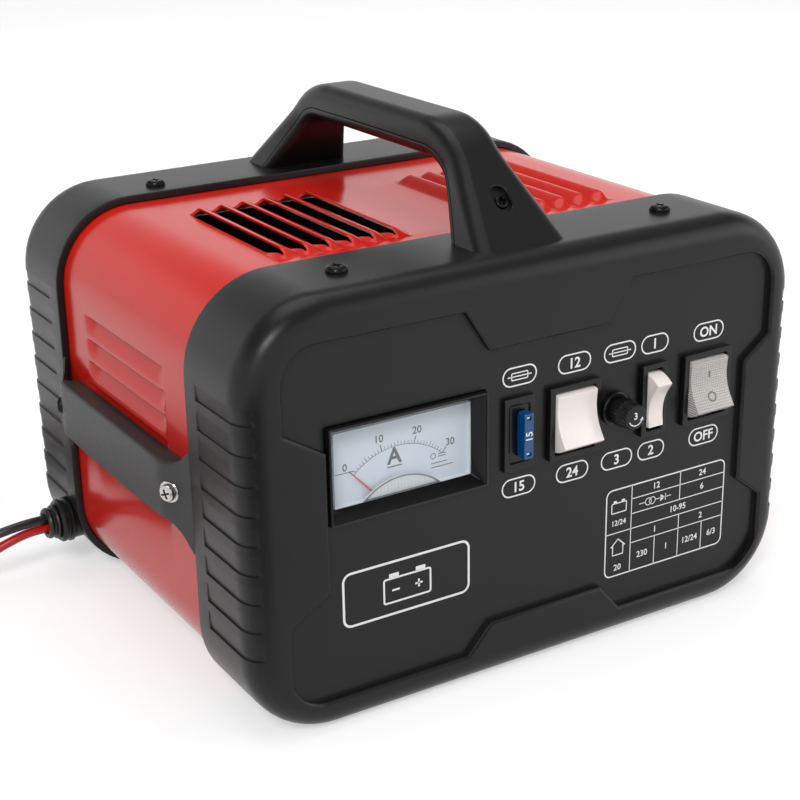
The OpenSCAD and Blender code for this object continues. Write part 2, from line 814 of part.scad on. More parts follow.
module meter_needle() {
    color("#b8321f") place() at_needle() {
        translate([0, needle_y + 0.4, 0]) rotate([90, 0, 0]) linear_extrude(0.4)
            polygon([[-0.8, -8], [0.8, -8], [0.35, needle_len - 10], [0.12, needle_len],
                [-0.12, needle_len], [-0.35, needle_len - 10]]);
        rod_y(4, needle_y, needle_y + 1.2);
        rod_y(1.6, needle_y, 30);
    }
}

module meter_coil() {
    color("#b87333") place() at_needle() difference() {
        box(-7, 7, 14.5, 25.5, -2.2, 2.2);
        box(-5, 5, 16, 24, -3, 3);
        rod_y(1.7, 10, 30);
    }
}

// ---------------------------------------------------------------- fuses

module blade_fuse_holder() {
    color("#1c1c1c") place() translate([blade_x, 0, row_z]) difference() {
        union() {
            box(-7.2, 7.2, flange_y + 0.6, panel_y, -15.3, 15.3);
            box(-6, 6, panel_y, 26, -14, 14);
        }
        box(-4.4, 4.4, flange_y - 1, 9, -11.8, 11.8);
        for (z = [-6.2, 6.2])
            box(-0.7, 0.7, 8, 22, z - 3, z + 3);
    }
}

module blade_fuse() {
    y0 = panel_y - blade_out;
    color("#1f55b0", 0.8) place() translate([blade_x, 0, row_z]) difference() {
        union() {
            box(-2.6, 2.6, y0, y0 + 4, -9.55, 9.55);
            box(-1.9, 1.9, y0 + 4, y0 + 12, -8.2, 8.2);
        }
        for (z = [-6, 6])
            box(-0.5, 0.5, y0 + 1, y0 + 13, z - 2.7, z + 2.7);
        for (z = [-7.6, 7.6])
            box(-1.2, 1.2, y0 - 1, y0 + 1.5, z - 0.8, z + 0.8);
    }
}

module blade_fuse_element() {
    y0 = panel_y - blade_out;
    color("#c9ccd0") place() translate([blade_x, 0, row_z])
        for (z = [-6, 6])
            box(-0.35, 0.35, y0 + 1.6, y0 + 19, z - 2.55, z + 2.55);
}

module fuse_socket() {
    color("#1c1c1c") place() translate([fuse_x, 0, row_z]) difference() {
        union() {
            rod_y(14.5, panel_y - 2.2, panel_y);
            rod_y(cap_d - 0.3, panel_y, 38);
        }
        rod_y(9.4, panel_y - 3, 36);
    }
}

module fuse_socket_nut() {
    color("#2a2a2a") place() translate([fuse_x, 0, row_z]) difference() {
        rotate([-90, 0, 0]) translate([0, 0, plate_t + 0.1]) cylinder(d = 18, h = 3, $fn = 6);
        rod_y(cap_d, plate_t - 1, plate_t + 4);
    }
}

module fuse_cap() {
    knurls = 24;
    color("#181818") place() translate([fuse_x, 0, row_z]) difference() {
        union() {
            rod_y(cap_d, -cap_out, panel_y - 2.4);
            rod_y(9, panel_y - 3, 12);
        }
        for (k = [0 : knurls - 1])
            rotate([0, 360 * k / knurls, 0]) translate([cap_d / 2, 0, 0])
                box(-0.35, 1, 1 - cap_out, -2, -0.4, 0.4);
        rod_y(6.9, -6, 13);
    }
}

module glass_fuse_tube() {
    color("#e6eef0", 0.5) place() translate([fuse_x, 0, row_z]) difference() {
        rod_y(5, 1, 11);
        rod_y(3.6, 0, 12);
    }
}

module glass_fuse_caps() {
    color("#c9ccd0") place() translate([fuse_x, 0, row_z]) {
        difference() {
            rod_y(5.8, -4, 1.5);
            rod_y(5.05, 0.9, 2);
        }
        difference() {
            rod_y(5.8, 10.5, 16);
            rod_y(5.05, 10, 11.1);
        }
    }
}

// ---------------------------------------------------------------- rocker switches

module switch_housing(x, w) {
    in_w = w - 2 - 2 * switch_wall;
    in_h = rocker_r + fit;
    body_half = switch_h / 2 - 1.2;
    translate([x, 0, row_z]) difference() {
        union() {
            box(-w / 2, w / 2, flange_y, panel_y, -switch_h / 2, switch_h / 2);
            box(-w / 2 + 1.2, w / 2 - 1.2, panel_y, panel_y + switch_deep, -body_half, body_half);
        }
        box(-in_w / 2, in_w / 2, flange_y - 1, panel_y + switch_deep - 2, -in_h, in_h);
        translate([0, rocker_y, 0]) rod_x(3 + 2 * run_fit, -in_w / 2 - trunnion, in_w / 2 + trunnion);
    }
}

// A rocker about its trunnions, tilted by a to push in its upper half
module rocker(x, w, a) {
    in_w = w - 2 - 2 * switch_wall - 0.4;
    translate([x, rocker_y, row_z]) rotate([a, 0, 0]) {
        across(in_w) intersection() {
            circle(r = rocker_r);
            polygon([[-rocker_front, rocker_side], [-4.3, 0.6], [-4.3, -0.6], [-rocker_front, -rocker_side],
                [0, -rocker_r - 1], [3, -rocker_r - 1], [3, rocker_r + 1], [0, rocker_r + 1]]);
        }
        rod_x(3, -in_w / 2 - trunnion, in_w / 2 + trunnion);
    }
}

module voltage_switch_housing() {
    color("#1c1c1c") place() switch_housing(voltage_x, switch_w);
}

module voltage_rocker() {
    color("#efe2de") place() rocker(voltage_x, switch_w, -rocker_tilt);
}

module boost_switch_housing() {
    color("#1c1c1c") place() switch_housing(boost_x, narrow_w);
}

module boost_rocker() {
    color("#efe2de") place() rocker(boost_x, narrow_w, rocker_tilt);
}

module power_switch_housing() {
    color("#1c1c1c") place() switch_housing(power_x, switch_w);
}

module power_rocker() {
    color("#e6e6e2", 0.6) place() rocker(power_x, switch_w, -rocker_tilt);
}

module power_lamp() {
    color("#e8672c") place() translate([power_x, 0, row_z]) rod_y(5, rocker_y + 8, panel_y + switch_deep - 2 - fit);
}

module switch_terminals() {
    back = panel_y + switch_deep;
    color("#c9a24a") place() for (x = [voltage_x - 5, voltage_x + 5, power_x - 5, power_x + 5, boost_x])
        for (z = [-8, 8])
            translate([x, 0, row_z + z]) box(-0.4, 0.4, back, back + 8, -2.4, 2.4);
}

// ---------------------------------------------------------------- inside

core_z = base_top + 4;
leg = core_w / 6;

module transformer_core() {
    color("#5b5f63") place() translate([core_x, core_y, core_z]) difference() {
        box(-core_w / 2, core_w / 2, -core_t / 2, core_t / 2, 0, core_h);
        for (side = [-1, 1])
            box(side * 1.5 * leg - leg / 2, side * 1.5 * leg + leg / 2, -core_t, core_t, leg, core_h - leg);
        for (x = [-1, 1]) for (z = [leg / 2, core_h - leg / 2])
            translate([x * (core_w - leg) / 2, 0, z]) rod_y(screw_d + 0.4, -core_t, core_t);
    }
}

bobbin_h = core_h - 2 * leg - 0.6;
bobbin_z = core_z + leg + 0.3;
reach = leg - 0.5;

module around(gap, thick, z0, z1) {
    w = 2 * leg + 2 * gap;
    t = core_t + 2 * gap;
    translate([core_x, core_y, z0]) linear_extrude(z1 - z0) difference() {
        square([w + 2 * thick, t + 2 * thick], center = true);
        square([w, t], center = true);
    }
}

module coil_bobbin() {
    color("#d9d4c4") place() {
        around(0.3, 1.4, bobbin_z, bobbin_z + bobbin_h);
        around(0.3, reach - 0.3, bobbin_z, bobbin_z + 1.4);
        around(0.3, reach - 0.3, bobbin_z + bobbin_h / 2 - 0.7, bobbin_z + bobbin_h / 2 + 0.7);
        around(0.3, reach - 0.3, bobbin_z + bobbin_h - 1.4, bobbin_z + bobbin_h);
    }
}

module primary_winding() {
    color("#a85c2a") place()
        around(1.8, reach - 2.6, bobbin_z + 1.6, bobbin_z + bobbin_h / 2 - 0.9);
}

module secondary_winding() {
    color("#b8732f") place()
        around(1.8, reach - 2.2, bobbin_z + bobbin_h / 2 + 0.9, bobbin_z + bobbin_h - 1.6);
}

module core_frame() {
    half = core_w / 2;
    color("#9a9da0") place() translate([core_x, core_y, base_top]) difference() {
        union() {
            for (side = [-1, 1]) {
                box(min(side * (half + 0.1), side * (half + 2.1)), max(side * (half + 0.1), side * (half + 2.1)),
                    -core_t / 2, core_t / 2, 0, core_h + 6);
                box(min(side * (half + 0.1), side * (half + 0.1 + frame_foot)),
                    max(side * (half + 0.1), side * (half + 0.1 + frame_foot)),
                    -core_t / 2, core_t / 2, 0, 2);
            }
            box(-half - 2.1, half + 2.1, -core_t / 2, core_t / 2, core_h + 4.1, core_h + 6.1);
        }
        for (x = [-frame_bolt_x, frame_bolt_x])
            translate([x, 0, -1]) cylinder(d = screw_d + 0.3, h = 5);
    }
    color("#9a9da0") place() for (side = [-1, 1])
        translate([core_x, core_y, base_top]) box(side * leg * 2.4 - 5, side * leg * 2.4 + 5,
            -core_t / 2, core_t / 2, 0, 4);
}

module core_bolts() {
    color("#b5b8bb") place() {
        for (x = [-1, 1]) for (z = [leg / 2, core_h - leg / 2])
            translate([core_x + x * (core_w - leg) / 2, core_y, core_z + z]) {
                rod_y(screw_d, -core_t / 2 - 5, core_t / 2 + 5);
                rotate([90, 0, 0]) translate([0, 0, core_t / 2]) cylinder(d = 8, h = 3, $fn = 6);
                rotate([-90, 0, 0]) translate([0, 0, core_t / 2]) cylinder(d = 8, h = 3, $fn = 6);
            }
        for (x = [-frame_bolt_x, frame_bolt_x])
            translate([core_x + x, core_y, base_top + 2]) pan_screw(screw_d, 8, 2.6, 7);
    }
}

sink_x = 82;
sink_w = 60;
module heat_sink() {
    color("#aeb2b6") place() translate([sink_x, mid_y, base_top]) {
        box(0, 3, -sink_w / 2, sink_w / 2, 0, 70);
        box(-12, 0, -sink_w / 2, sink_w / 2, 0, 2);
        for (k = [0 : 5])
            box(3, 15, k * 11 - sink_w / 2, k * 11 - sink_w / 2 + 1.6, 12, 70);
    }
}

module bridge_rectifier() {
    color("#26282a") place() translate([sink_x, mid_y, base_top + 40]) {
        box(-9, 0, -14.2, 14.2, -14.2, 14.2);
        for (y = [-9, 9]) for (z = [-9, 9])
            box(-16, -9, y - 3, y + 3, z - 0.4, z + 0.4);
    }
}

module thermal_cutout() {
    color("#2b2b2b") place() translate([sink_x - 11, mid_y - sink_w / 2, base_top]) {
        box(0, 10, -22, -6, 0, 28);
        translate([5, -14, 28]) cylinder(d = 6, h = 3);
    }
}

module mains_gland() {
    color("#1c1c1c") place() translate([mains_x, body_d, mains_z]) difference() {
        union() {
            rod_y(14, -12, -recess_d + 0.2);
            rod_y(19, -recess_d, mains_out);
            rod_y(19, -plate_t - 3, -plate_t);
        }
        rod_y(mains_bore, -13, 4);
    }
}

module lead_gland() {
    color("#161616") place() translate([0, gland_y, gland_z]) difference() {
        union() {
            rod_x(gland_d, left_x - gland_out, left_x + 12);
            rod_x(gland_d + 3, left_x - gland_boss_out - 2.4, left_x - gland_boss_out - 0.2);
            rod_x(gland_d + 3.5, left_x + 14.2, left_x + 16);
            rod_x(gland_d - 1, left_x + 11, left_x + 15);
        }
        rod_x(gland_bore, left_x - gland_out - 1, left_x + 17);
    }
}

// ---------------------------------------------------------------- leads

module red_lead() {
    color("#c4161c") place() {
        tube(red_route, lead_d);
        tube(red_tail, lead_d);
    }
}

module black_lead() {
    color("#151515") place() {
        tube(black_route, lead_d);
        tube(black_tail, lead_d);
    }
}

module coil_ring(z) {
    translate([coil_x, coil_y, z]) rotate_extrude() translate([coil_in, 0]) square([coil_out - coil_in, layer]);
}

module red_lead_coil() {
    color("#c4161c") place() coil_ring(0.05);
}

module black_lead_coil() {
    color("#151515") place() coil_ring(layer + 0.1);
}

module lead_tie() {
    h = 2 * layer + 0.3;
    color("#202020") place() translate([coil_x, coil_y, 0]) difference() {
        box(-coil_out - 1.2, 2.4 - coil_in, -4, 4, 0, h + 1);
        box(-coil_out - 0.2, 1.4 - coil_in, -5, 5, -1, h);
    }
}

// One arm of a clamp on the side x > 0, about the pin at the origin
function arm_line() = [[0.4, 6.5], [0.4, clamp_nose - 9],
    [1.6, clamp_nose - 7.5], [0.4, clamp_nose - 6], [1.6, clamp_nose - 4.5], [0.4, clamp_nose - 3],
    [1.2, clamp_nose - 1], [3.2, clamp_nose], [6.4, clamp_nose - 5], [8.2, 14], [9.2, 2], [10.4, -6],
    [20, -clamp_tail], [clamp_lead_x - 3, -clamp_tail], [5.2, -12], [2, -7], [7.2, 0]];

lug = clamp_t * 0.22;

module clamp_lugs(outer, r) {
    spans = outer ? [[0, lug], [clamp_t - lug, clamp_t]]
        : [[lug + 0.1, 2 * lug - 0.4], [clamp_t - 2 * lug + 0.4, clamp_t - lug - 0.1]];
    for (s = spans)
        translate([0, 0, s[0]]) cylinder(r = r, h = s[1] - s[0]);
}

module clamp_gaps(outer, r) {
    spans = outer ? [[lug, clamp_t - lug]] : [[-1, lug + 0.1], [clamp_t - lug - 0.1, clamp_t + 1]];
    for (s = spans)
        translate([0, 0, s[0]]) cylinder(r = r, h = s[1] - s[0]);
}

module clamp_arm(outer) {
    difference() {
        union() {
            difference() {
                linear_extrude(clamp_t) polygon(arm_line());
                clamp_gaps(outer, 7.3);
                translate([0, 0, lug]) cylinder(r = 7.3, h = clamp_t - 2 * lug);
            }
            clamp_lugs(outer, 6.8);
            intersection() {
                clamp_lugs(outer, 9.6);
                translate([5, -6, 0]) cube([6, 12, clamp_t]);
            }
        }
        translate([0, 0, -1]) cylinder(r = 2 + run_fit, h = clamp_t + 2);
        if (outer)
            translate([clamp_lead_x, 1 - clamp_tail, clamp_t / 2]) rod_y(lead_d + 0.4, -2, 8);
    }
}

module clamp_pin() {
    cylinder(r = 2, h = clamp_t);
}

module clamp_spring() {
    translate([0, 0, 2 * lug - 0.2]) difference() {
        cylinder(r = 4.4, h = clamp_t - 4 * lug + 0.4);
        translate([0, 0, -1]) cylinder(r = 2.3, h = clamp_t);
    }
}

module red_clamp_fixed_arm() {
    color("#b5121b") place() translate(red_clamp_at) clamp_arm(true);
}

module red_clamp_moving_arm() {
    color("#b5121b") place() translate(red_clamp_at) mirror([1, 0, 0]) clamp_arm(false);
}

module red_clamp_pin() {
    color("#b5b8bb") place() translate(red_clamp_at) clamp_pin();
}

module red_clamp_spring() {
    color("#b5b8bb") place() translate(red_clamp_at) clamp_spring();
}

module black_clamp_fixed_arm() {
    color("#1a1a1a") place() translate(black_clamp_at) mirror([1, 0, 0]) clamp_arm(true);
}

module black_clamp_moving_arm() {
    color("#1a1a1a") place() translate(black_clamp_at) clamp_arm(false);
}

module black_clamp_pin() {
    color("#b5b8bb") place() translate(black_clamp_at) clamp_pin();
}

module black_clamp_spring() {
    color("#b5b8bb") place() translate(black_clamp_at) clamp_spring();
}

// ---------------------------------------------------------------- nodes

front_bezel();
rear_bezel();
wrap_cover();
base_plate();
bezel_screws();
base_screws();
handle_outer_shell();
handle_inner_shell();
handle_screws();
handle_bolts();
side_bracket();
bracket_screws();
meter_housing();
meter_dial();
meter_lens();
meter_pivot_cover();
meter_magnet();
meter_needle();
meter_coil();
blade_fuse_holder();
blade_fuse();
blade_fuse_element();
voltage_switch_housing();
voltage_rocker();
boost_switch_housing();
boost_rocker();
power_switch_housing();
power_rocker();
power_lamp();
switch_terminals();
fuse_socket();
fuse_socket_nut();
fuse_cap();
glass_fuse_tube();
glass_fuse_caps();
transformer_core();
coil_bobbin();
primary_winding();
secondary_winding();
core_frame();
core_bolts();
heat_sink();
bridge_rectifier();
thermal_cutout();
mains_gland();
lead_gland();
red_lead();
black_lead();
red_lead_coil();
black_lead_coil();
lead_tie();
red_clamp_fixed_arm();
red_clamp_moving_arm();
red_clamp_pin();
red_clamp_spring();
black_clamp_fixed_arm();
black_clamp_moving_arm();
black_clamp_pin();
black_clamp_spring();
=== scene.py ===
import math
from collections import namedtuple

import bmesh
import bpy
from bpy.props import FloatProperty, FloatVectorProperty, PointerProperty
from mathutils import Matrix, Vector


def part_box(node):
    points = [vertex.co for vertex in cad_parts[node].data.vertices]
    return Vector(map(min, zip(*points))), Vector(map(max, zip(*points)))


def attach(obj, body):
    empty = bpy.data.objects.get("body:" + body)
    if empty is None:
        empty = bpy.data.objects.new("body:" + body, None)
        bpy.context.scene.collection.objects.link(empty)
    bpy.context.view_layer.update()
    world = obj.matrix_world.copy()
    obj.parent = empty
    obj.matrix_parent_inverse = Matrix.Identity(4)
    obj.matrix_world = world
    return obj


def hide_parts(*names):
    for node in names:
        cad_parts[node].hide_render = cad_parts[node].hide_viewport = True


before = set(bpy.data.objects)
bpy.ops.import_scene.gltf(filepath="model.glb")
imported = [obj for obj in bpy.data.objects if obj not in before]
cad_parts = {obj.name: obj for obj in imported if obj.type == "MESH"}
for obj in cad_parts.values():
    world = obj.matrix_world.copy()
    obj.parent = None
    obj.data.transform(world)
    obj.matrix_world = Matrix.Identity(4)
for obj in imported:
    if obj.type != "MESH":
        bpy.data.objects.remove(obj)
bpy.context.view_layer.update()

bl_info = {
    "name": "Car Battery Charger",
    "version": (1, 0, 0),
    "blender": (4, 5, 0),
    "location": "View3D > Sidebar > Charger",
    "description": "Builds a car battery charger with its controls, leads and clamps",
    "category": "Object",
}

MM = 0.001
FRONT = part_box("front_bezel")
ORIGIN = Vector(((FRONT[0].x + FRONT[1].x) / 2, FRONT[0].y, 0))

# The body, in millimetres: x from its middle, y from its front, z from the ground
WIDE = (FRONT[1].x - FRONT[0].x) / MM
TALL = FRONT[1].z / MM
DEEP = (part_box("base_plate")[0].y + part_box("base_plate")[1].y - 2 * ORIGIN.y) / MM
MID_Z = TALL / 2
CORNER = 36  # radius of the body's long edges
BEZEL_DEEP = 47
RIM = 11  # width of the rounding round the bezel's front
PLATE_BACK = 5.5  # the panel's back face, behind the bezel's front
SHEET_INSET = 3.5  # the cover's outside, inside the bezels' outside

# Controls, by the middle of each
ROW_Z = 103.4
METER = (-60.5, ROW_Z + 1.2)
PIVOT = (-60.5, ROW_Z - 25)
BLADE_X = -10.6
VOLTAGE_X = 14.9
FUSE_X = 37
BOOST_X = 55
POWER_X = 83
NEEDLE_ZERO = 43  # the needle's lean at either end of its scale, in degrees

# The leads' gland, by its distance from the front and its height
GLAND_Y, GLAND_Z = 187, 26


def row(p):
    """A point of the charger's own millimetres in the row frame."""
    return ORIGIN + Vector(p) * MM


def linear(code):
    """The linear colour of an sRGB hex value."""
    parts = [int(code[i:i + 2], 16) / 255 for i in (1, 3, 5)]
    return [c / 12.92 if c <= 0.04045 else ((c + 0.055) / 1.055) ** 2.4 for c in parts]


# ---------------------------------------------------------------- settings


class ChargerSizes(bpy.types.PropertyGroup):
    groove_depth: FloatProperty(
        name="Groove Depth", description="Depth of the grooves in the bezels' sides",
        default=0.65 * MM, unit="LENGTH")
    recess_depth: FloatProperty(
        name="Recess Depth", description="Depth of the panel behind the bezel's rim",
        default=3.0 * MM, unit="LENGTH")
    hood_height: FloatProperty(
        name="Hood Height", description="Height of the louvres in the cover's top",
        default=3.6 * MM, unit="LENGTH")
    pressing_depth: FloatProperty(
        name="Pressing Depth", description="Depth of the louvres in the cover's sides",
        default=3.2 * MM, unit="LENGTH")
    lead_diameter: FloatProperty(
        name="Lead Diameter", description="Diameter of the two output leads",
        default=4.2 * MM, unit="LENGTH")
    print_width: FloatProperty(
        name="Print Width", description="Width of the printed lines on the panel",
        default=0.62 * MM, unit="LENGTH")


def colour_property(name, description, code):
    return FloatVectorProperty(name=name, description=description, subtype="COLOR", size=3,
                               default=linear(code), min=0, max=1)


class ChargerColours(bpy.types.PropertyGroup):
    body: colour_property("Bezels", "Moulded bezels and handle", "#181717")
    cover: colour_property("Cover", "Enamelled steel cover", "#C9221A")
    rocker: colour_property("Rockers", "Rockers of the two plain switches", "#FBF1ED")
    dial: colour_property("Dial", "Printed card of the ammeter", "#DDE8F4")
    fuse: colour_property("Blade Fuse", "Tinted body of the blade fuse", "#04569A")
    needle: colour_property("Needle", "Painted needle of the ammeter", "#C02A1E")
    positive: colour_property("Positive Lead", "Sheath of the positive lead", "#C4161C")
    negative: colour_property("Negative Lead", "Sheath of the negative lead", "#1A1A1A")


def sizes():
    return bpy.context.scene.charger_sizes


def colours():
    return bpy.context.scene.charger_colours


# ---------------------------------------------------------------- outlines


def turned_left(loop):
    """The outline, counter-clockwise."""
    area = sum(a[0] * b[1] - b[0] * a[1] for a, b in zip(loop, loop[1:] + loop[:1]))
    return loop if area > 0 else loop[::-1]


def arc(centre, r, start, end, n):
    """Points round the centre from one angle to the other, in degrees."""
    return [(centre[0] + r * math.cos(math.radians(start + (end - start) * i / n)),
             centre[1] + r * math.sin(math.radians(start + (end - start) * i / n)))
            for i in range(n + 1)]


def rounded(w, h, r, at=(0, 0), n=6):
    """A rectangle with rounded corners, counter-clockwise."""
    x, y = at
    loop = []
    for k, (sx, sy) in enumerate(((1, 1), (-1, 1), (-1, -1), (1, -1))):
        loop += arc((x + sx * (w / 2 - r), y + sy * (h / 2 - r)), r, 90 * k, 90 * k + 90, n)
    return loop


def circle(at, r, n=48):
    return arc(at, r, 0, 360, n)[:-1]


def offset(loop, d):
    """The counter-clockwise outline moved inwards by d, corner by corner."""
    out = []
    for i, p in enumerate(loop):
        a = Vector(p) - Vector(loop[i - 1])
        b = Vector(loop[(i + 1) % len(loop)]) - Vector(p)
        na, nb = Vector((-a.y, a.x)).normalized(), Vector((-b.y, b.x)).normalized()
        move = (na + nb) / max(1 + na.dot(nb), 0.2) * d
        out.append((p[0] + move.x, p[1] + move.y))
    return out


def smooth(a, b, x):
    """0 below a, 1 above b, and a smooth rise between."""
    t = min(1, max(0, (x - a) / (b - a)))
    return t * t * (3 - 2 * t)


def forward(u, v, w):
    """A flat point of the panel, w behind the bezel's rim."""
    return (u, w, v)


def rearward(u, v, w):
    """A flat point of the rear panel, w in front of the rear bezel's rim."""
    return (u, DEEP - w, v)


def level(w, lift=forward):
    """Places a flat outline w behind the rim."""
    return lambda u, v: lift(u, v, w)


# ---------------------------------------------------------------- meshes


class Shape:
    """Points and faces in the charger's own millimetres, gathered before they become one object."""

    def __init__(self):
        self.points, self.faces, self.inks = [], [], []

    def add(self, points, faces, ink=0):
        first = len(self.points)
        self.points += [tuple(p) for p in points]
        self.faces += [[first + i for i in face] for face in faces]
        self.inks += [ink] * len(faces)
        return self

    def skin(self, rings, closed=True, ink=0, skip=None):
        """Faces between neighbouring rings of equally many points."""
        n = len(rings[0])
        faces = [(r * n + i, r * n + (i + 1) % n, (r + 1) * n + (i + 1) % n, (r + 1) * n + i)
                 for r in range(len(rings) - 1) for i in range(n if closed else n - 1)
                 if not (skip and skip(r, i))]
        return self.add([p for ring in rings for p in ring], faces, ink)

    def loft(self, rings, ink=0):
        """A closed solid through the rings, capped at both ends."""
        n, last = len(rings[0]), len(self.points) + (len(rings) - 1) * len(rings[0])
        first = len(self.points)
        self.skin(rings, ink=ink)
        self.faces += [list(range(first, first + n)), list(range(last, last + n))]
        self.inks += [ink, ink]
        return self

    def sheet(self, loops, lift, ink=0):
        """A flat face inside the first outline and outside the others."""
        bm = bmesh.new()
        for loop in loops:
            corners = [bm.verts.new((u, v, 0)) for u, v in loop]
            for a, b in zip(corners, corners[1:] + corners[:1]):
                bm.edges.new((a, b))
        bmesh.ops.triangle_fill(bm, use_beauty=True, use_dissolve=False, edges=bm.edges[:])
        bm.verts.index_update()
        self.add([lift(v.co.x, v.co.y) for v in bm.verts],
                 [[v.index for v in f.verts] for f in bm.faces], ink)
        bm.free()
        return self

    def slab(self, loops, front, back, edge=0.3, lift=forward, ink=0, inner=None):
        """A plate inside the first outline and outside the others, its front edges rounded."""
        way = 1 if back > front else -1
        tops, ends = [], []
        for i, loop in enumerate(loops):
            loop = turned_left(loop)
            e = edge if i == 0 or inner is None else inner
            side = 1 if i == 0 else -1
            steps = [(e, 0), (e * 0.55, e * 0.1), (e * 0.1, e * 0.55), (0, e)]
            rings = [[lift(u, v, front + way * d) for u, v in offset(loop, side * s)]
                     for s, d in steps]
            rings.append([lift(u, v, back) for u, v in loop])
            self.skin(rings, ink=ink)
            tops.append(offset(loop, side * e))
            ends.append(loop)
        return self.sheet(tops, level(front, lift), ink).sheet(ends, level(back, lift), ink)

    def lathe(self, profile, at, axis, n=48, ink=0, wave=None):
        """A body of revolution; the profile's points are (radius, place along the axis).

        wave(i, r) is what the i-th point round the axis adds to the radius r.
        """
        rings = []
        for r, along in profile:
            ring = []
            for i in range(n):
                a = 2 * math.pi * i / n
                q = r + (wave(i, r) if wave else 0)
                u, v = q * math.cos(a), q * math.sin(a)
                p = {"x": (along, u, v), "y": (u, along, v), "z": (u, v, along)}[axis]
                ring.append(tuple(c + d for c, d in zip(p, at)))
            rings.append(ring)
        return self.skin(rings, ink=ink)

    def block(self, low, high, edge=0.4, ink=0):
        """A box with rounded edges."""
        bm = bmesh.new()
        bmesh.ops.create_cube(bm, size=1)
        for v in bm.verts:
            v.co = Vector([a + (b - a) * (c + 0.5) for a, b, c in zip(low, high, v.co)])
        bmesh.ops.bevel(bm, geom=bm.edges[:], offset=edge, segments=3, profile=0.5, affect="EDGES")
        bm.verts.index_update()
        self.add([v.co for v in bm.verts], [[v.index for v in f.verts] for f in bm.faces], ink)
        bm.free()
        return self

    def stroke(self, points, width, lift, closed=False, ink=0):
        """A flat line of that width through flat points."""
        if closed:
            loop = turned_left(points)
            rings = [offset(loop, width / 2), offset(loop, -width / 2)]
            return self.skin([[lift(*p) for p in ring] for ring in rings], ink=ink)
        sides = [[], []]
        for i, p in enumerate(points):
            a, b = Vector(points[max(i - 1, 0)]), Vector(points[min(i + 1, len(points) - 1)])
            across = Vector((a.y - b.y, b.x - a.x)).normalized() * width / 2
            sides[0].append(lift(p[0] + across.x, p[1] + across.y))
            sides[1].append(lift(p[0] - across.x, p[1] - across.y))
        return self.skin(sides, closed=False, ink=ink)

    def letters(self, text, size, at, lift, weight=0.0, ink=0):
        """Plain sans figures, centred on that place."""
        curve = bpy.data.curves.new("letters", "FONT")
        curve.body, curve.size, curve.offset = text, size, weight
        curve.align_x, curve.align_y = "CENTER", "CENTER"
        curve.resolution_u = 3
        thing = bpy.data.objects.new("letters", curve)
        mesh = thing.to_mesh()
        low = min(v.co.y for v in mesh.vertices)
        high = max(v.co.y for v in mesh.vertices)
        points = [lift(at[0] + v.co.x, at[1] + v.co.y - (low + high) / 2) for v in mesh.vertices]
        self.add(points, [list(p.vertices) for p in mesh.polygons], ink)
        thing.to_mesh_clear()
        bpy.data.objects.remove(thing)
        bpy.data.curves.remove(curve)
        return self

    def mesh(self, name, materials):
        """The mesh in metres, cleaned, with its faces turned outwards."""
        mesh = bpy.data.meshes.new(name)
        mesh.from_pydata([row(p) for p in self.points], [], self.faces)
        for m in materials:
            mesh.materials.append(m)
        mesh.polygons.foreach_set("material_index", self.inks)
        bm = bmesh.new()
        bm.from_mesh(mesh)
        bmesh.ops.remove_doubles(bm, verts=bm.verts, dist=0.00001)
        bmesh.ops.dissolve_degenerate(bm, dist=0.000001, edges=bm.edges)
        bmesh.ops.recalc_face_normals(bm, faces=bm.faces)
        bm.to_mesh(mesh)
        bm.free()
        return mesh

    def piece(self, name, body, materials, stands_for=(), slot="black_abs", sharp=32,
              cut=None, thick=None, even=False):
        """The finished object on its body: cut by another shape, or as a sheet that thick."""
        thing = bpy.data.objects.new(name, self.mesh(name, materials))
        bpy.context.scene.collection.objects.link(thing)
        if thick:
            m = thing.modifiers.new("sheet", "SOLIDIFY")
            m.thickness, m.offset = thick * MM, -1
        if cut:
            tool = bpy.data.objects.new("tool", cut.mesh("tool", materials))
            bpy.context.scene.collection.objects.link(tool)
            m = thing.modifiers.new("cut", "BOOLEAN")
            m.object, m.operation, m.solver = tool, "DIFFERENCE", "EXACT"
        if cut or thick:
            made = bpy.data.meshes.new_from_object(
                thing.evaluated_get(bpy.context.evaluated_depsgraph_get()))
            thing.modifiers.clear()
            thing.data = made
            made.name = name
            if cut:
                bpy.data.objects.remove(tool)
        mesh = thing.data
        mesh.polygons.foreach_set("use_smooth", [True] * len(mesh.polygons))
        mesh.set_sharp_from_angle(angle=math.radians(sharp))
        if even:
            m = thing.modifiers.new("even shading", "WEIGHTED_NORMAL")
            m.keep_sharp = True
        return placed(thing, body, stands_for)


def placed(thing, body, stands_for):
    """Puts a piece on its body, in place of the nodes that it stands for."""
    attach(thing, body)
    if stands_for:
        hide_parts(*stands_for)
    return thing


# ---------------------------------------------------------------- materials

PATCH = 22  # width of the patches of shade, in mm
DIMPLE_PAINTED_SHADE = 0.78  # the colour in a dimple, as a share of the colour round it: painted shade in the dimples' hollows


def add(material, kind, inputs=None, **settings):
    """Adds one node; inputs gives each socket its value, or the node and output that feed it."""
    tree = material.node_tree
    node = tree.nodes.new("ShaderNode" + kind)
    for key, value in settings.items():
        setattr(node, key, value)
    for socket, value in (inputs or {}).items():
        if isinstance(value, tuple) and isinstance(value[0], bpy.types.Node):
            tree.links.new(value[0].outputs[value[1]], node.inputs[socket])
        else:
            node.inputs[socket].default_value = value
    return node


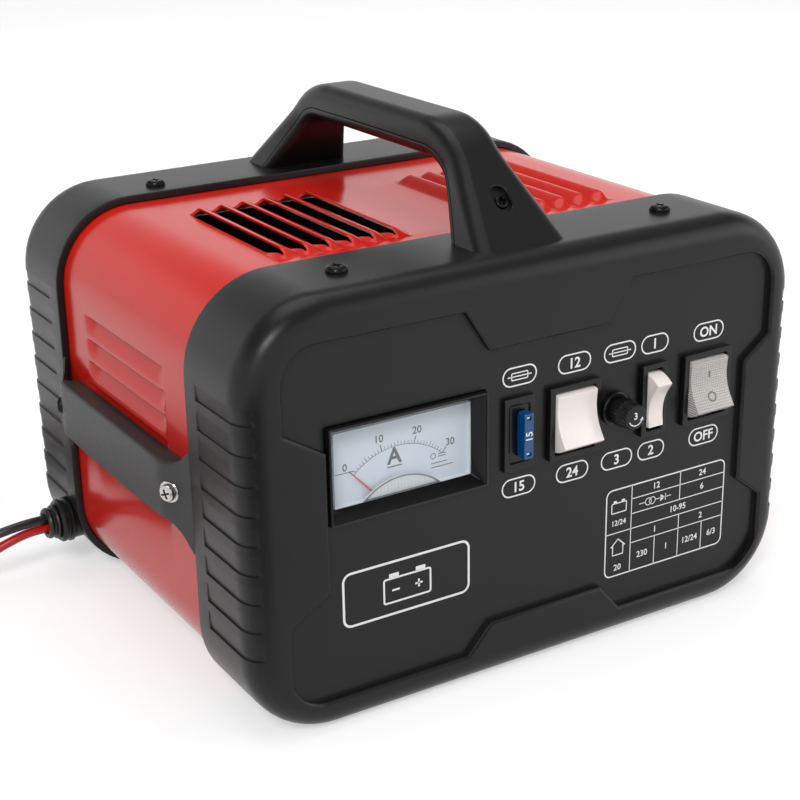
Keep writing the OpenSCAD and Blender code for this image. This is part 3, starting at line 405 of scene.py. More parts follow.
def finish(name, colour, roughness, grain=0.4, depth=0.01, shade=0.06, spread=0.05,
           bands=None, dots=None, **shader):
    """A material with patches of shade and a bumped grain of varying gloss; sizes are in mm.

    shade and spread are how far colour and roughness stray. bands is (pitch, depth, axis) for
    lines, and dots is (pitch, depth) for a grid of dimples, seen from the front.
    """
    if name in bpy.data.materials:
        return bpy.data.materials[name]
    m = bpy.data.materials.new(name)
    m.use_nodes = True
    m.node_tree.nodes.clear()
    rgb = linear(colour) if isinstance(colour, str) else list(colour)
    where = add(m, "TexCoord")
    patches = add(m, "TexNoise", {"Vector": (where, "Object"), "Scale": 1 / (PATCH * MM),
                                  "Detail": 3.0})
    low = [c * (1 - shade) for c in rgb] + [1]
    high = [min(1, c * (1 + shade)) for c in rgb] + [1]
    tint = add(m, "Mix", {0: (patches, 0), 6: low, 7: high}, data_type="RGBA")
    fine = add(m, "TexNoise", {"Vector": (where, "Object"), "Scale": 1 / (grain * MM),
                               "Detail": 2.0})
    gloss = add(m, "MapRange", {"Value": (fine, 0), "From Min": 0.3, "From Max": 0.7,
                                "To Min": max(0.02, roughness - spread),
                                "To Max": min(1, roughness + spread)})
    bump = add(m, "Bump", {"Height": (fine, 0), "Distance": depth * MM, "Strength": 1.0})
    if bands:
        pitch, deep, axis = bands
        # One band of this texture is 0.314 of a unit at scale 1
        lines = add(m, "TexWave", {"Vector": (where, "Object"), "Scale": 0.314 / (pitch * MM)},
                    wave_type="BANDS", bands_direction=axis)
        bump = add(m, "Bump", {"Height": (lines, 1), "Distance": deep * MM, "Strength": 1.0,
                               "Normal": (bump, 0)})
    if dots:
        pitch, deep = dots
        # The grid is drawn straight through from the front
        through = add(m, "Mapping", {"Vector": (where, "Object"), "Scale": (1, 0, 1)})
        cells = add(m, "TexVoronoi", {"Vector": (through, 0), "Scale": 1 / (pitch * MM),
                                      "Randomness": 0.0})
        dimple = add(m, "MapRange", {"Value": (cells, 0), "From Min": 0.15, "From Max": 0.45})
        bump = add(m, "Bump", {"Height": (dimple, 0), "Distance": deep * MM, "Strength": 1.0,
                               "Normal": (bump, 0)})
        # Painted shade: each dimple is darker towards its middle than the plastic round it
        inside = [DIMPLE_PAINTED_SHADE * c for c in rgb] + [1]
        tint = add(m, "Mix", {0: (dimple, 0), 6: inside, 7: (tint, 2)}, data_type="RGBA")
    surface = add(m, "BsdfPrincipled", {"Base Color": (tint, 2), "Roughness": (gloss, 0),
                                        "Normal": (bump, 0)})
    for key, value in shader.items():
        surface.inputs[key.replace("_", " ").title().replace("Ior", "IOR")].default_value = value
    add(m, "OutputMaterial", {"Surface": (surface, 0)})
    return m


def moulded_abs():
    # ABS moulded in a finely sparked tool: dark, with a soft even sheen and a barely visible grain
    return finish("moulded black ABS", colours().body, 0.33, grain=0.5, depth=0.006,
                  specular_ior_level=0.3)


def polished_abs():
    # ABS moulded in a polished tool, as on the switches: darker and glossier than the bezels
    return finish("polished black ABS", "#111111", 0.22, grain=0.6, depth=0.002, spread=0.04,
                  specular_ior_level=0.35)


def enamelled_steel():
    # Stoved gloss enamel on steel sheet: deep even red, clear reflections, a faint orange peel
    return finish("gloss red enamel on steel", colours().cover, 0.19, grain=2.2, depth=0.004,
                  shade=0.03, spread=0.02, specular_ior_level=0.32)


def painted_strap():
    # Powder coat on steel strip: grey-black, satin, with the powder's fine texture
    return finish("satin black powder coat", "#2C2C2D", 0.45, grain=0.7, depth=0.008, spread=0.08)


def zinc_plate():
    # Bright zinc on steel: silver with a hint of blue and cloudy gloss
    return finish("bright zinc plate", "#B9BDC2", 0.3, grain=0.8, depth=0.004, spread=0.1,
                  metallic=1.0)


def polished_nickel():
    # Nickel-plated screw heads: sharp highlights between dark reflections
    return finish("polished nickel plate", "#C6C4C0", 0.14, grain=0.6, depth=0.003, metallic=1.0)


def blackened_steel():
    # Steel blackened in an oxide bath: near-black metal with a soft oily sheen
    return finish("black oxide steel", "#2A2928", 0.34, depth=0.006, spread=0.1, metallic=1.0)


def silicon_steel():
    # Stacked silicon steel sheets, drawn 1.2 mm apart instead of 0.5 so that the stack shows
    return finish("laminated silicon steel", "#6B6E72", 0.45, grain=0.6, metallic=1.0,
                  bands=(1.2, 0.12, "Y"))


def enamelled_wire():
    # Copper wire under clear varnish, wound in layers 1.2 mm apart: orange-brown with glossy ridges
    return finish("varnished copper wire", "#A4562A", 0.3, grain=0.5, metallic=0.8,
                  bands=(1.2, 0.3, "Z"))


def extruded_aluminium():
    # Extruded aluminium, not anodised: pale grey with lines along the drawing direction
    return finish("extruded aluminium", "#B7BBBF", 0.36, grain=0.7, depth=0.004, metallic=1.0,
                  bands=(0.8, 0.01, "Y"))


def spring_steel():
    # Drawn and tempered wire: dark silver, 1.4 mm between turns
    return finish("tempered spring steel", "#8A8D90", 0.28, grain=0.5, depth=0.004, metallic=1.0,
                  bands=(1.4, 0.3, "Z"))


def tinned_brass():
    # Dull tin on brass contacts: soft silver
    return finish("tinned brass", "#CFD2D4", 0.3, depth=0.003, metallic=1.0)


def rolled_brass():
    # Rolled brass strip: warm yellow metal, lightly tarnished
    return finish("rolled brass", "#C9A24A", 0.3, grain=0.5, depth=0.004, shade=0.12, metallic=1.0)


def magnet_iron():
    # Cast magnet alloy, ground and unpainted: grey with a coarse surface
    return finish("cast magnet alloy", "#5F6468", 0.5, grain=0.5, depth=0.02, metallic=1.0)


def bakelite():
    # Phenolic bobbin and boards: cream, dull, slightly mottled
    return finish("moulded phenolic", "#D3CCB8", 0.5, grain=0.6, shade=0.1)


def rocker_plastic():
    # Polished nylon: warm white with a wide soft highlight
    return finish("polished white nylon", colours().rocker, 0.2, grain=1.2, depth=0.003,
                  shade=0.02, spread=0.04, subsurface_weight=0.08, subsurface_scale=0.002)


def meter_white():
    # Moulded white polystyrene inside the meter: bright, slightly glossy
    return finish("moulded white polystyrene", "#EDF1F5", 0.3, grain=0.8, depth=0.003, shade=0.02)


def dial_card():
    # Coated card: cool white, dull, with a paper grain
    return finish("coated dial card", colours().dial, 0.55, grain=0.3, depth=0.003, shade=0.015)


def clear_acrylic():
    # Polished acrylic sheet 1.2 mm thick: nearly all light passes, its gloss shows at the edges
    return finish("clear acrylic", "#F4F8FB", 0.04, grain=3, depth=0.001, shade=0.01, spread=0.01,
                  ior=1.49, alpha=0.1)


def frosted_acrylic():
    # Ribbed acrylic cover, milky in its thickness, ribs 1.5 mm apart
    return finish("ribbed milky acrylic", "#E6EBEF", 0.18, grain=1, depth=0.002, shade=0.02,
                  bands=(1.5, 0.12, "X"), ior=1.49, alpha=0.82)


def clear_rocker():
    # Clear polycarbonate with a grid of dimples 1 mm apart, over its neon lamp: grey-white sparkle,
    # with painted shade darkening each dimple
    return finish("dimpled clear polycarbonate", "#FCF6F2", 0.12, grain=0.8, depth=0.003,
                  shade=0.03, dots=(1.0, 0.4), ior=1.58, transmission_weight=0.35)


def neon_glass():
    # Neon lamp in glass: dull orange when it is off
    return finish("unlit neon glass", "#B86A44", 0.15, grain=0.8, depth=0.002, ior=1.5,
                  transmission_weight=0.3)


def fuse_plastic():
    # Tinted polycarbonate: deep blue, glossy, light glows in its thin edges
    return finish("tinted blue polycarbonate", colours().fuse, 0.16, grain=0.8, depth=0.003,
                  ior=1.58, transmission_weight=0.35)


def fuse_glass():
    # Drawn glass tube: clear, smooth, bright along its edges
    return finish("drawn glass tube", "#EDF4F2", 0.04, grain=3, depth=0.001, spread=0.01, ior=1.5,
                  transmission_weight=0.9)


def black_nylon():
    # Glass-filled nylon: black, dull, with a slightly uneven surface
    return finish("black glass-filled nylon", "#191919", 0.38, grain=0.5, depth=0.012, spread=0.08)


def red_sheath():
    # Extruded soft PVC: red, smooth, with faint marks along the extrusion
    return finish("extruded red PVC", colours().positive, 0.32, grain=0.8, depth=0.008, ior=1.53)


def black_sheath():
    # The same PVC in black: a grey sheen along its upper side
    return finish("extruded black PVC", colours().negative, 0.32, grain=0.8, depth=0.008, ior=1.53)


def red_vinyl():
    # Steel jaws dipped in vinyl: red, with a soft, rounded gloss
    return finish("dipped red vinyl", "#B5121B", 0.36, grain=0.9, depth=0.015, spread=0.08,
                  ior=1.53)


def black_vinyl():
    # The same dip in black: its rounded edges shine grey
    return finish("dipped black vinyl", "#1B1B1B", 0.36, grain=0.9, depth=0.015, spread=0.08,
                  ior=1.53)


def white_ink():
    # Screen-printed epoxy ink: dense white with a dry surface
    return finish("screen-printed white ink", "#F2F2F2", 0.5, depth=0.003, shade=0.02)


def black_ink():
    # Offset-printed black ink: flat, even lines that take on the card's dullness
    return finish("offset-printed black ink", "#26292C", 0.5, grain=0.3, depth=0.002, shade=0.05)


def grey_ink():
    # Grey paint wiped into moulded marks: dull, with soft edges
    return finish("filled grey paint", "#6C6C6C", 0.4, grain=0.3, depth=0.002, shade=0.05)


def needle_paint():
    # Red lacquer sprayed on thin aluminium: flat and slightly dusty
    return finish("sprayed red lacquer", colours().needle, 0.35, depth=0.003)


# ---------------------------------------------------------------- leads

# The leads' way from the gland to the coils: x, y, and the heights of the red and the black one
WAY = ((-118, 187, 23.8, 28.2), (-130, 187, 23.8, 28.2), (-141, 187, 23.8, 28.2),
       (-150, 187, 23.4, 28.1), (-159, 187.5, 21, 27), (-168, 190, 16.5, 24.3),
       (-176, 195, 11, 20.6), (-182, 203, 6.5, 17), (-185.5, 213, 3.6, 13.8),
       (-186.5, 222, 2.3, 11.5))
RED_ROUTE = [(x, y, red) for x, y, red, _ in WAY]
BLACK_ROUTE = [(x, y, black) for x, y, _, black in WAY]
# From the coils to the clamps
RED_TAIL = [(-187, 242, 6.4), (-189.5, 252, 6.6), (-193, 262, 7), (-195, 271, 7), (-195, 279, 7)]
BLACK_TAIL = [(-186, 242, 14.2), (-184.8, 252, 11.8), (-183, 262, 8.5), (-182, 271, 7),
              (-182, 279, 7)]
COIL = (-216, 232)


def coil_points(low):
    """Three turns inwards, a step up, and three turns back outwards on top of them."""
    turns, each, crossing = 7, 36, 0.6
    half = (turns - crossing) / 2
    outer, inner, layer = 29.5, 15.4, 4.3
    points = []
    for i in range(turns * each + 1):
        t = i / each
        r = outer - (outer - inner) * min(t, turns - t, half) / half
        z = low + layer * smooth(half, turns - half, t)
        a = 2 * math.pi * t
        points.append((COIL[0] + r * math.cos(a), COIL[1] + r * math.sin(a), z))
    return points


def through(points, n=5):
    """A smooth line through the points, with n steps between two of them."""
    p = [Vector(points[0])] + [Vector(q) for q in points] + [Vector(points[-1])]
    line = []
    for i in range(1, len(p) - 2):
        for k in range(n):
            t = k / n
            a, b, c, d = p[i - 1], p[i], p[i + 1], p[i + 2]
            line.append(tuple(0.5 * (2 * b + (c - a) * t + (2 * a - 5 * b + 4 * c - d) * t * t
                                     + (3 * b - a - 3 * c + d) * t ** 3)))
    return line + [tuple(p[-1])]


def lead(name, route, low, tail, material, nodes):
    """One lead from the gland, through its coil, to its clamp; low is its coil's lowest height."""
    coil = coil_points(low)
    points = through(route + coil[:1])[:-1] + coil[:-1] + through(coil[-1:] + tail)
    curve = bpy.data.curves.new(name, "CURVE")
    curve.dimensions = "3D"
    curve.bevel_depth = sizes().lead_diameter / 2
    curve.bevel_resolution = 3
    curve.use_fill_caps = True
    spline = curve.splines.new("POLY")
    spline.points.add(len(points) - 1)
    places = [row(p) for p in points]
    for point, place in zip(spline.points, places):
        point.co = (*place, 1)
    spline.use_smooth = True
    curve.materials.append(material)
    thing = bpy.data.objects.new(name, curve)
    bpy.context.scene.collection.objects.link(thing)
    placed(thing, "housing", nodes)


def build_leads():
    lead("output_lead_positive", RED_ROUTE, 2.2, RED_TAIL, red_sheath(),
         ("red_lead", "red_lead_coil"))
    lead("output_lead_negative", BLACK_ROUTE, 10.85, BLACK_TAIL, black_sheath(),
         ("black_lead", "black_lead_coil"))


# ---------------------------------------------------------------- stage


# The camera's place in the charger's own millimetres, its azimuth, height and roll, and its lens
CAMERA_AT = (-362.3, -487.4, 349.1)
CAMERA_TURN = (-31.35, 21.04, -0.98)
CAMERA_LENS = 75.33
# Each lamp's name, place, size and power; all of them look at the same place
LAMPS = (("key light", (-1.3, -1.5, 1.7), 0.6, 22),
         ("fill light", (1.6, -1.2, 1.0), 1.4, 9),
         ("top light", (0.1, 0.3, 2.0), 1.6, 14))
LAMPS_AIM = Vector((0, 0, 0.09))
ROOM_LIGHT = 0.56
FLOOR_GLOW = 0.46
# Middle of the painted reflection: a dark patch on the floor that only glossy rays see
PAINTED_REFLECTION_AT = (-0.29, -0.43, 0)


def seen_ray(owner):
    """1 for a ray from the camera or a glossy or clear surface, and 0 for one that only lights."""
    path = add(owner, "LightPath")
    some = add(owner, "Math", {0: (path, "Is Camera Ray"), 1: (path, "Is Glossy Ray")},
               operation="MAXIMUM")
    return add(owner, "Math", {0: (some, 0), 1: (path, "Is Transmission Ray")}, operation="MAXIMUM")


def build_camera():
    azimuth, height, roll = (math.radians(a) for a in CAMERA_TURN)
    ahead = Vector((-math.sin(azimuth) * math.cos(height), math.cos(azimuth) * math.cos(height),
                    -math.sin(height)))
    right = Vector((math.cos(azimuth), math.sin(azimuth), 0))
    up = right.cross(ahead)
    side = right * math.cos(roll) + up * math.sin(roll)
    top = up * math.cos(roll) - right * math.sin(roll)
    camera = bpy.data.cameras.new("camera")
    camera.sensor_width, camera.lens, camera.clip_end = 36, CAMERA_LENS, 50
    viewer = bpy.data.objects.new("camera", camera)
    viewer.matrix_world = (Matrix.Translation(row(CAMERA_AT))
                           @ Matrix((side, top, -ahead)).transposed().to_4x4())
    bpy.context.scene.collection.objects.link(viewer)
    bpy.context.scene.camera = viewer


def build_lamps():
    for name, at, size, power in LAMPS:
        lamp = bpy.data.lights.new(name, "AREA")
        lamp.size, lamp.energy = size, power
        thing = bpy.data.objects.new(name, lamp)
        thing.location = at
        thing.rotation_euler = (LAMPS_AIM - Vector(at)).to_track_quat("-Z", "Y").to_euler()
        bpy.context.scene.collection.objects.link(thing)


def build_room():
    """An even light, which the eye and reflections see as white walls up to a dark ceiling."""
    world = bpy.data.worlds.new("studio")
    world.use_nodes = True
    world.node_tree.nodes.clear()
    where = add(world, "TexCoord")
    split = add(world, "SeparateXYZ", {0: (where, "Generated")})
    walls = add(world, "MapRange", {"Value": (split, "Z"), "From Min": 0.36, "From Max": 0.52,
                                    "To Min": 1.0, "To Max": 0.2})
    light = add(world, "Mix", {0: (seen_ray(world), 0), 2: ROOM_LIGHT, 3: (walls, 0)},
                data_type="FLOAT")
    glow = add(world, "Background", {"Color": (1, 1, 1, 1), "Strength": (light, 0)})
    add(world, "OutputWorld", {"Surface": (glow, 0)})
    bpy.context.scene.world = world


def white_card():
    # Uncoated white card: even and dull; its own glow shows it white to the eye under the shadow
    card = bpy.data.materials.new("white studio card")
    card.use_nodes = True
    card.node_tree.nodes.clear()
    fibre = add(card, "TexNoise", {"Scale": 60.0, "Detail": 3.0})
    shade = add(card, "Mix", {0: (fibre, 0), 6: linear("#CBCBCB") + [1],
                              7: linear("#D0D0D0") + [1]}, data_type="RGBA")
    paper = add(card, "BsdfDiffuse", {"Color": (shade, 2), "Roughness": 0.6})
    bright = add(card, "Emission", {"Color": (1, 1, 1, 1), "Strength": FLOOR_GLOW})
    both = add(card, "AddShader", {0: (paper, 0), 1: (bright, 0)})
    lit = add(card, "MixShader", {0: (seen_ray(card), 0), 1: (paper, 0), 2: (both, 0)})
    # Painted reflection: a dark patch on the floor at the left front that only glossy rays see, so
    # glossy surfaces nearby mirror it dark; nothing lies there
    where = add(card, "TexCoord")
    away = add(card, "VectorMath", {0: (where, "Object"), 1: PAINTED_REFLECTION_AT},
               operation="DISTANCE")
    near = add(card, "MapRange", {"Value": (away, 1), "From Min": 0.36, "From Max": 0.14})
    mirrored = add(card, "LightPath")
    flag = add(card, "Math", {0: (near, 0), 1: (mirrored, "Is Glossy Ray")}, operation="MULTIPLY")
    black = add(card, "BsdfDiffuse", {"Color": linear("#272727") + [1]})
    choice = add(card, "MixShader", {0: (flag, 0), 1: (lit, 0), 2: (black, 0)})
    add(card, "OutputMaterial", {"Surface": (choice, 0)})
    return card


def build_floor():
    """A round floor just under the charger's feet."""
    mesh = bpy.data.meshes.new("floor")
    edge = [(x, y, -0.0005) for x, y in circle((0, 0), 6)]
    mesh.from_pydata(edge, [], [list(range(len(edge)))])
    mesh.materials.append(white_card())
    floor = bpy.data.objects.new("floor", mesh)
    bpy.context.scene.collection.objects.link(floor)


def build_stage():
    build_camera()
    build_lamps()
    build_room()
    build_floor()
    bpy.context.scene.view_settings.view_transform = "Standard"


# ---------------------------------------------------------------- bezels


def bezel_path():
    """Places round the bezel's core: x, z, the outward direction, and a groove's depth there."""
    x, z = WIDE / 2 - CORNER, MID_Z - CORNER
    deep = sizes().groove_depth / MM
    # Nine grooves in each side: heights from a groove's place, and shares of its depth
    pitch, middle = 11.7, -1.5
    steps = ((7.0, 0), (6.75, 0.35), (1.2, 0.7), (0.7, 1), (-0.6, 1), (-0.9, 0))
    levels = sorted((min(middle + pitch * k + dz, z - 0.2 - 0.1 * i), share * deep)
                    for k in range(-4, 5) for i, (dz, share) in enumerate(steps))
    spread = (48, 38, 20, 0, -20, -38, -48)
    corners = [[(sx * x, sz * z, math.cos(a), math.sin(a), 0)
                for a in (math.radians(90 * k + 90 * i / 12) for i in range(13))]
               for k, (sx, sz) in enumerate(((1, 1), (-1, 1), (-1, -1), (1, -1)))]
    return ([(x, height, 1, 0, d) for height, d in levels]
            + corners[0] + [(s, z, 0, 1, 0) for s in spread] + corners[1]
            + [(-x, height, -1, 0, d) for height, d in levels[::-1]]
            + corners[2] + [(-s, -z, 0, -1, 0) for s in spread] + corners[3])


def recess_outline():
    """The recess, with a slanting tab in the middle of each side."""
    # Its four sides from the middle, and how far its tabs stand to the right of it
    left, right, top, low = 16 - WIDE / 2, WIDE / 2 - 12.5, MID_Z - 16, 12.5 - MID_Z
    r, mid = 14.5, 3.6
    out = [(right, -40), (right - 13, -30), (right - 13, 23), (right, 33)]
    out += arc((right - r, top - r), r, 0, 90, 10)
    out += [(mid + 39, top), (mid + 28, top - 17), (mid - 28, top - 17), (mid - 39, top)]
    out += arc((left + r, top - r), r, 90, 180, 10)
    out += [(left, 38), (left + 17, 27.5), (left + 17, -27.5), (left, -38)]
    out += arc((left + r, low + r), r, 180, 270, 10)
    out += [(mid - 38, low), (mid - 27, low + 12), (mid + 27, low + 12), (mid + 37, low)]
    out += arc((right - r, low + r), r, 270, 360, 10)
    return [(u, v + MID_Z) for u, v in out]


def bezel(lift, holes):
    """A bezel and its panel in one shell: grooved sides, rounded front, recess and holes."""
    places = bezel_path()

    def ring(inset, back, in_groove=0, ahead=0):
        """Points round the bezel; a groove goes inwards by in_groove and backwards by ahead."""
        return [lift(x + (CORNER - inset - d * in_groove) * nx,
                     MID_Z + z + (CORNER - inset - d * in_groove) * nz, back + d * ahead)
                for x, z, nx, nz, d in places]

    wall, side = 3, PLATE_BACK + 9.5
    rings = [ring(wall, side), ring(wall, BEZEL_DEEP), ring(0.9, BEZEL_DEEP),
             ring(0.25, BEZEL_DEEP - 0.25), ring(0, BEZEL_DEEP - 0.9), ring(0, 37.2)]
    rings += [ring(0, back, 1) for back in (36.6, 24, 12)]
    # The rounded front, along which the grooves fade out
    front_round, bulge = 12, 0.85
    for degrees in (84, 78, 72, 66, 60, 54, 48, 42, 36, 32, 28, 24, 20, 16, 12, 9):
        a, fade = math.radians(degrees), smooth(25, 34, degrees)
        rings.append(ring(front_round - front_round * math.sin(a) ** bulge,
                          front_round * (1 - math.cos(a) ** bulge),
                          fade * math.sin(a), fade * math.cos(a)))
    rings.append(ring(RIM, 0))
    shape = Shape().skin(rings)
    shape.skin([ring(wall, side), ring(8, PLATE_BACK + 1.5), ring(RIM, PLATE_BACK)])

    rim = [(x + (CORNER - RIM) * nx, MID_Z + z + (CORNER - RIM) * nz) for x, z, nx, nz, _ in places]
    deep = sizes().recess_depth / MM
    edge = recess_outline()
    steps = [(-0.5, 0), (-0.3, 0.05), (0.5, 0.75), (0.68, 0.95), (0.85, deep - 0.2),
             (0.95, deep - 0.05), (1.1, deep)]
    shape.sheet([rim, offset(edge, steps[0][0])], level(0, lift))
    shape.skin([[lift(u, v, w) for u, v in offset(edge, s)] for s, w in steps])
    cuts = [(-0.3, deep), (-0.08, deep + 0.08), (0, deep + 0.3), (0, PLATE_BACK)]
    for hole in holes:
        shape.skin([[lift(u, v, w) for u, v in offset(hole, s)] for s, w in cuts])
    shape.sheet([offset(edge, steps[-1][0])] + [offset(hole, cuts[0][0]) for hole in holes],
                level(deep, lift))
    return shape.sheet([rim] + holes, level(PLATE_BACK, lift))


def screw_seats(y):
    """Round seats under the body for the lower screws."""
    cut = Shape()
    for x in (-76, 76):
        cut.lathe([(0, -1), (4.9, -1), (4.9, 2.9), (0, 2.9)], (x, y, 0), "z", 32)
    return cut


def build_bezels():
    windows = [rounded(70.5, 39.5, 0.8, METER), rounded(12.5, 28.5, 0.5, (BLADE_X, ROW_Z)),
               rounded(23, 29, 0.5, (VOLTAGE_X, ROW_Z)), rounded(23, 29, 0.5, (POWER_X, ROW_Z)),
               rounded(11, 29, 0.5, (BOOST_X, ROW_Z)), circle((FUSE_X, ROW_Z), 6)]
    front = bezel(forward, windows)
    front.piece("bezel_front", "housing", [moulded_abs()], ["front_bezel"],
                cut=screw_seats(25.5), even=True)
    vents = [rounded(4, 48, 1.2, (side * 38 + (k - 4) * 7.5, 95), 3)
             for side in (-1, 1) for k in range(9)]
    rear = bezel(rearward, vents + [circle((70, 40), 7.2)])
    # The ribbed boss round the output leads
    boss = [(7.6, -116), (9.25, -116), (9.25, -129.6), (10.2, -130.6), (10.2, -131.8),
            (9.1, -132.4), (9.1, -133.2), (9.9, -133.8), (9.9, -134.9), (9.2, -135.6), (8.9, -136),
            (7.6, -136), (7.6, -116)]
    rear.lathe(boss, (0, GLAND_Y, GLAND_Z), "x", 48)
    rear.piece("bezel_rear", "housing", [moulded_abs()], ["rear_bezel"],
               cut=screw_seats(187), even=True)


# ---------------------------------------------------------------- cover


# A line along the cover: its place, the outward direction, how far a louvre lifts it, the kind of
# louvre, whether an opening follows it, and how far it is pulled aside at a louvre's end
Line = namedtuple("Line", "x z out_x out_z rise kind opens pull", defaults=(0, None, False, 0))


def turned_back(steps):
    """A louvre's steps from the other side: (place, rise, whether an opening follows, ...)."""
    back = steps[::-1]
    follows = [step[2] for step in back[1:]] + [False]
    return [(step[0], step[1], opens, *step[3:]) for step, opens in zip(back, follows)]


def cover_lines(hood, press):
    """The lines from the middle of the underside, up the right side, and down the left one."""
    half, r = WIDE / 2 - SHEET_INSET, CORNER - SHEET_INSET
    low, high = SHEET_INSET, TALL - SHEET_INSET
    hood_steps = ((5.2, 0, False, 0), (4.4, 0, True, -2), (1.9, hood - 0.15, False, 2.3),
                  (1.5, hood, False, 2.2), (0.6, hood * 0.97, False, 1.6),
                  (-0.8, hood * 0.84, False, 0.8), (-2.2, hood * 0.6, False, 0.3),
                  (-3.7, hood * 0.28, False, 0), (-4.7, hood * 0.07, False, 0))
    press_steps = ((0.9, 0, False), (0.3, -0.04, False), (0, -0.4, True), (-0.15, -press, False),
                   (-1.4, -press * 0.93, False), (-4.5, -press * 0.52, False),
                   (-7.4, -press * 0.15, False), (-8.8, -press * 0.02, False))
    # Four louvres down each side, and six on either side of the top's middle
    highest, side_pitch, innermost, top_pitch = 132.5, 10.2, 25.3, 10.1
    side = [(highest - side_pitch * k + dz, rise, opens)
            for k in range(4) for dz, rise, opens in press_steps]
    top = [(innermost + top_pitch * k + dx, rise, opens, pull)
           for k in range(5, -1, -1) for dx, rise, opens, pull in hood_steps]
    top = [(82, 0, False, 0)] + top + [(18.9, 0, False, 0)]

    def corner(across, upright, first):
        turns = [math.radians(first + 7.5 * i) for i in range(13)]
        return [Line(across + r * math.cos(a), upright + r * math.sin(a), math.cos(a), math.sin(a))
                for a in turns]

    lines = [Line(80, low, 0, -1)] + corner(half - r, low + r, -90)
    lines += [Line(half, z, 1, 0, rise, "side", opens) for z, rise, opens in turned_back(side)]
    lines += corner(half - r, high - r, 0)
    lines += [Line(x, high, 0, 1, rise, "top", opens, pull) for x, rise, opens, pull in top]
    lines.append(Line(0, high, 0, 1))
    lines += [Line(-x, high, 0, 1, rise, "top", opens, -pull)
              for x, rise, opens, pull in turned_back(top)]
    lines += corner(r - half, high - r, 90)
    lines += [Line(-half, z, -1, 0, rise, "side", opens) for z, rise, opens in side]
    return lines + corner(r - half, low + r, 180) + [Line(-80, low, 0, -1)]


def build_cover():
    """Steel over the top and down both sides: hooded louvres above, pressed ones beside."""
    hood, press = sizes().hood_height / MM, sizes().pressing_depth / MM
    lines = cover_lines(hood, press)
    # Distances along the body: close together where the louvres start and end
    rows = [40, 50, 57, 60.5, 61.5, 61.9, 62.4, 63, 63.6, 64.2, 64.8, 65.5, 66.5, 67.5, 68.7, 70,
            71.2, 72.3, 73.4, 74, 74.8, 75.6, 76.6, 82, 95, 105, 118, 130, 137.2, 138, 139, 140,
            141, 142, 142.8, 143.4, 143.8, 145, 147, 149, 151, 152.5, 153.5, 158, 168, 177]
    openings = {"top": (63.5, 143.5), "side": (74.7, 151.1)}

    def share(kind, y):
        """How much of its full rise a louvre has at y."""
        if kind == "top":
            nose = min(1, max(0, (y - 61.5) / 7))
            return nose * (2 - nose) * (1 - smooth(138.4, 144, y))
        return smooth(73.4, 76.6, y) * (1 - smooth(145, 153.5, y)) if kind == "side" else 0

    def point(line, y):
        full = share(line.kind, y)
        if line.pull and not line.rise:
            # An opening's lower edge climbs towards the hood's lip over its last 12 mm
            climb = 1 - smooth(63, 74.5, y)
            return line.x + line.pull * climb, y, line.z + 0.5 * hood * climb * full
        rise = line.rise * full
        return (line.x + rise * line.out_x + line.pull * smooth(138.4, 144, y), y,
                line.z + rise * line.out_z)

    def in_opening(r, i):
        if not lines[i].opens:
            return False
        start, end = openings[lines[i].kind]
        return rows[r] >= start and rows[r + 1] <= end

    shape = Shape().skin([[point(line, y) for line in lines] for y in rows],
                         closed=False, skip=in_opening)
    shape.piece("cover", "housing", [enamelled_steel()], ["wrap_cover"], "red_steel",
                sharp=40, thick=1.2)


# ---------------------------------------------------------------- handle


def filleted(corners, r):
    """Places along a foot, a bend, the grip, a bend and a foot, by equal numbers of steps."""
    p = [Vector(c) for c in corners]
    bends = []
    for i in (1, 2):
        a, b = (p[i - 1] - p[i]).normalized(), (p[i + 1] - p[i]).normalized()
        half = math.acos(a.dot(b)) / 2
        c = p[i] + (a + b).normalized() * r / math.sin(half)
        start, end = p[i] + a * r / math.tan(half) - c, p[i] + b * r / math.tan(half) - c
        turn = math.atan2(start.x * end.y - start.y * end.x, start.dot(end))
        first = math.atan2(start.y, start.x)
        angles = [first + turn * k / 10 for k in range(11)]
        bends.append([c + r * Vector((math.cos(t), math.sin(t))) for t in angles])
    line = []
    for a, b, bend in ((p[0], bends[0][0], bends[0]), (bends[0][-1], bends[1][0], bends[1]),
                       (bends[1][-1], p[3], [p[3]])):
        line += [a.lerp(b, k / 8) for k in range(1 if line else 0, 8)] + bend
    return line


def arch(foot, bend, rise, r):
    """The handle's line over the body: where its legs start and end, its height, and its bends."""
    return filleted([(foot, TALL), (bend, TALL + rise), (DEEP - bend, TALL + rise),
                     (DEEP - foot, TALL)], r)


# The outside and the inside: foot and bend from the front, rise over the body, bend radius
OUTER_ARCH = (13, 56.6, 42, 36)
INNER_ARCH = (36, 59.3, 26.5, 17)


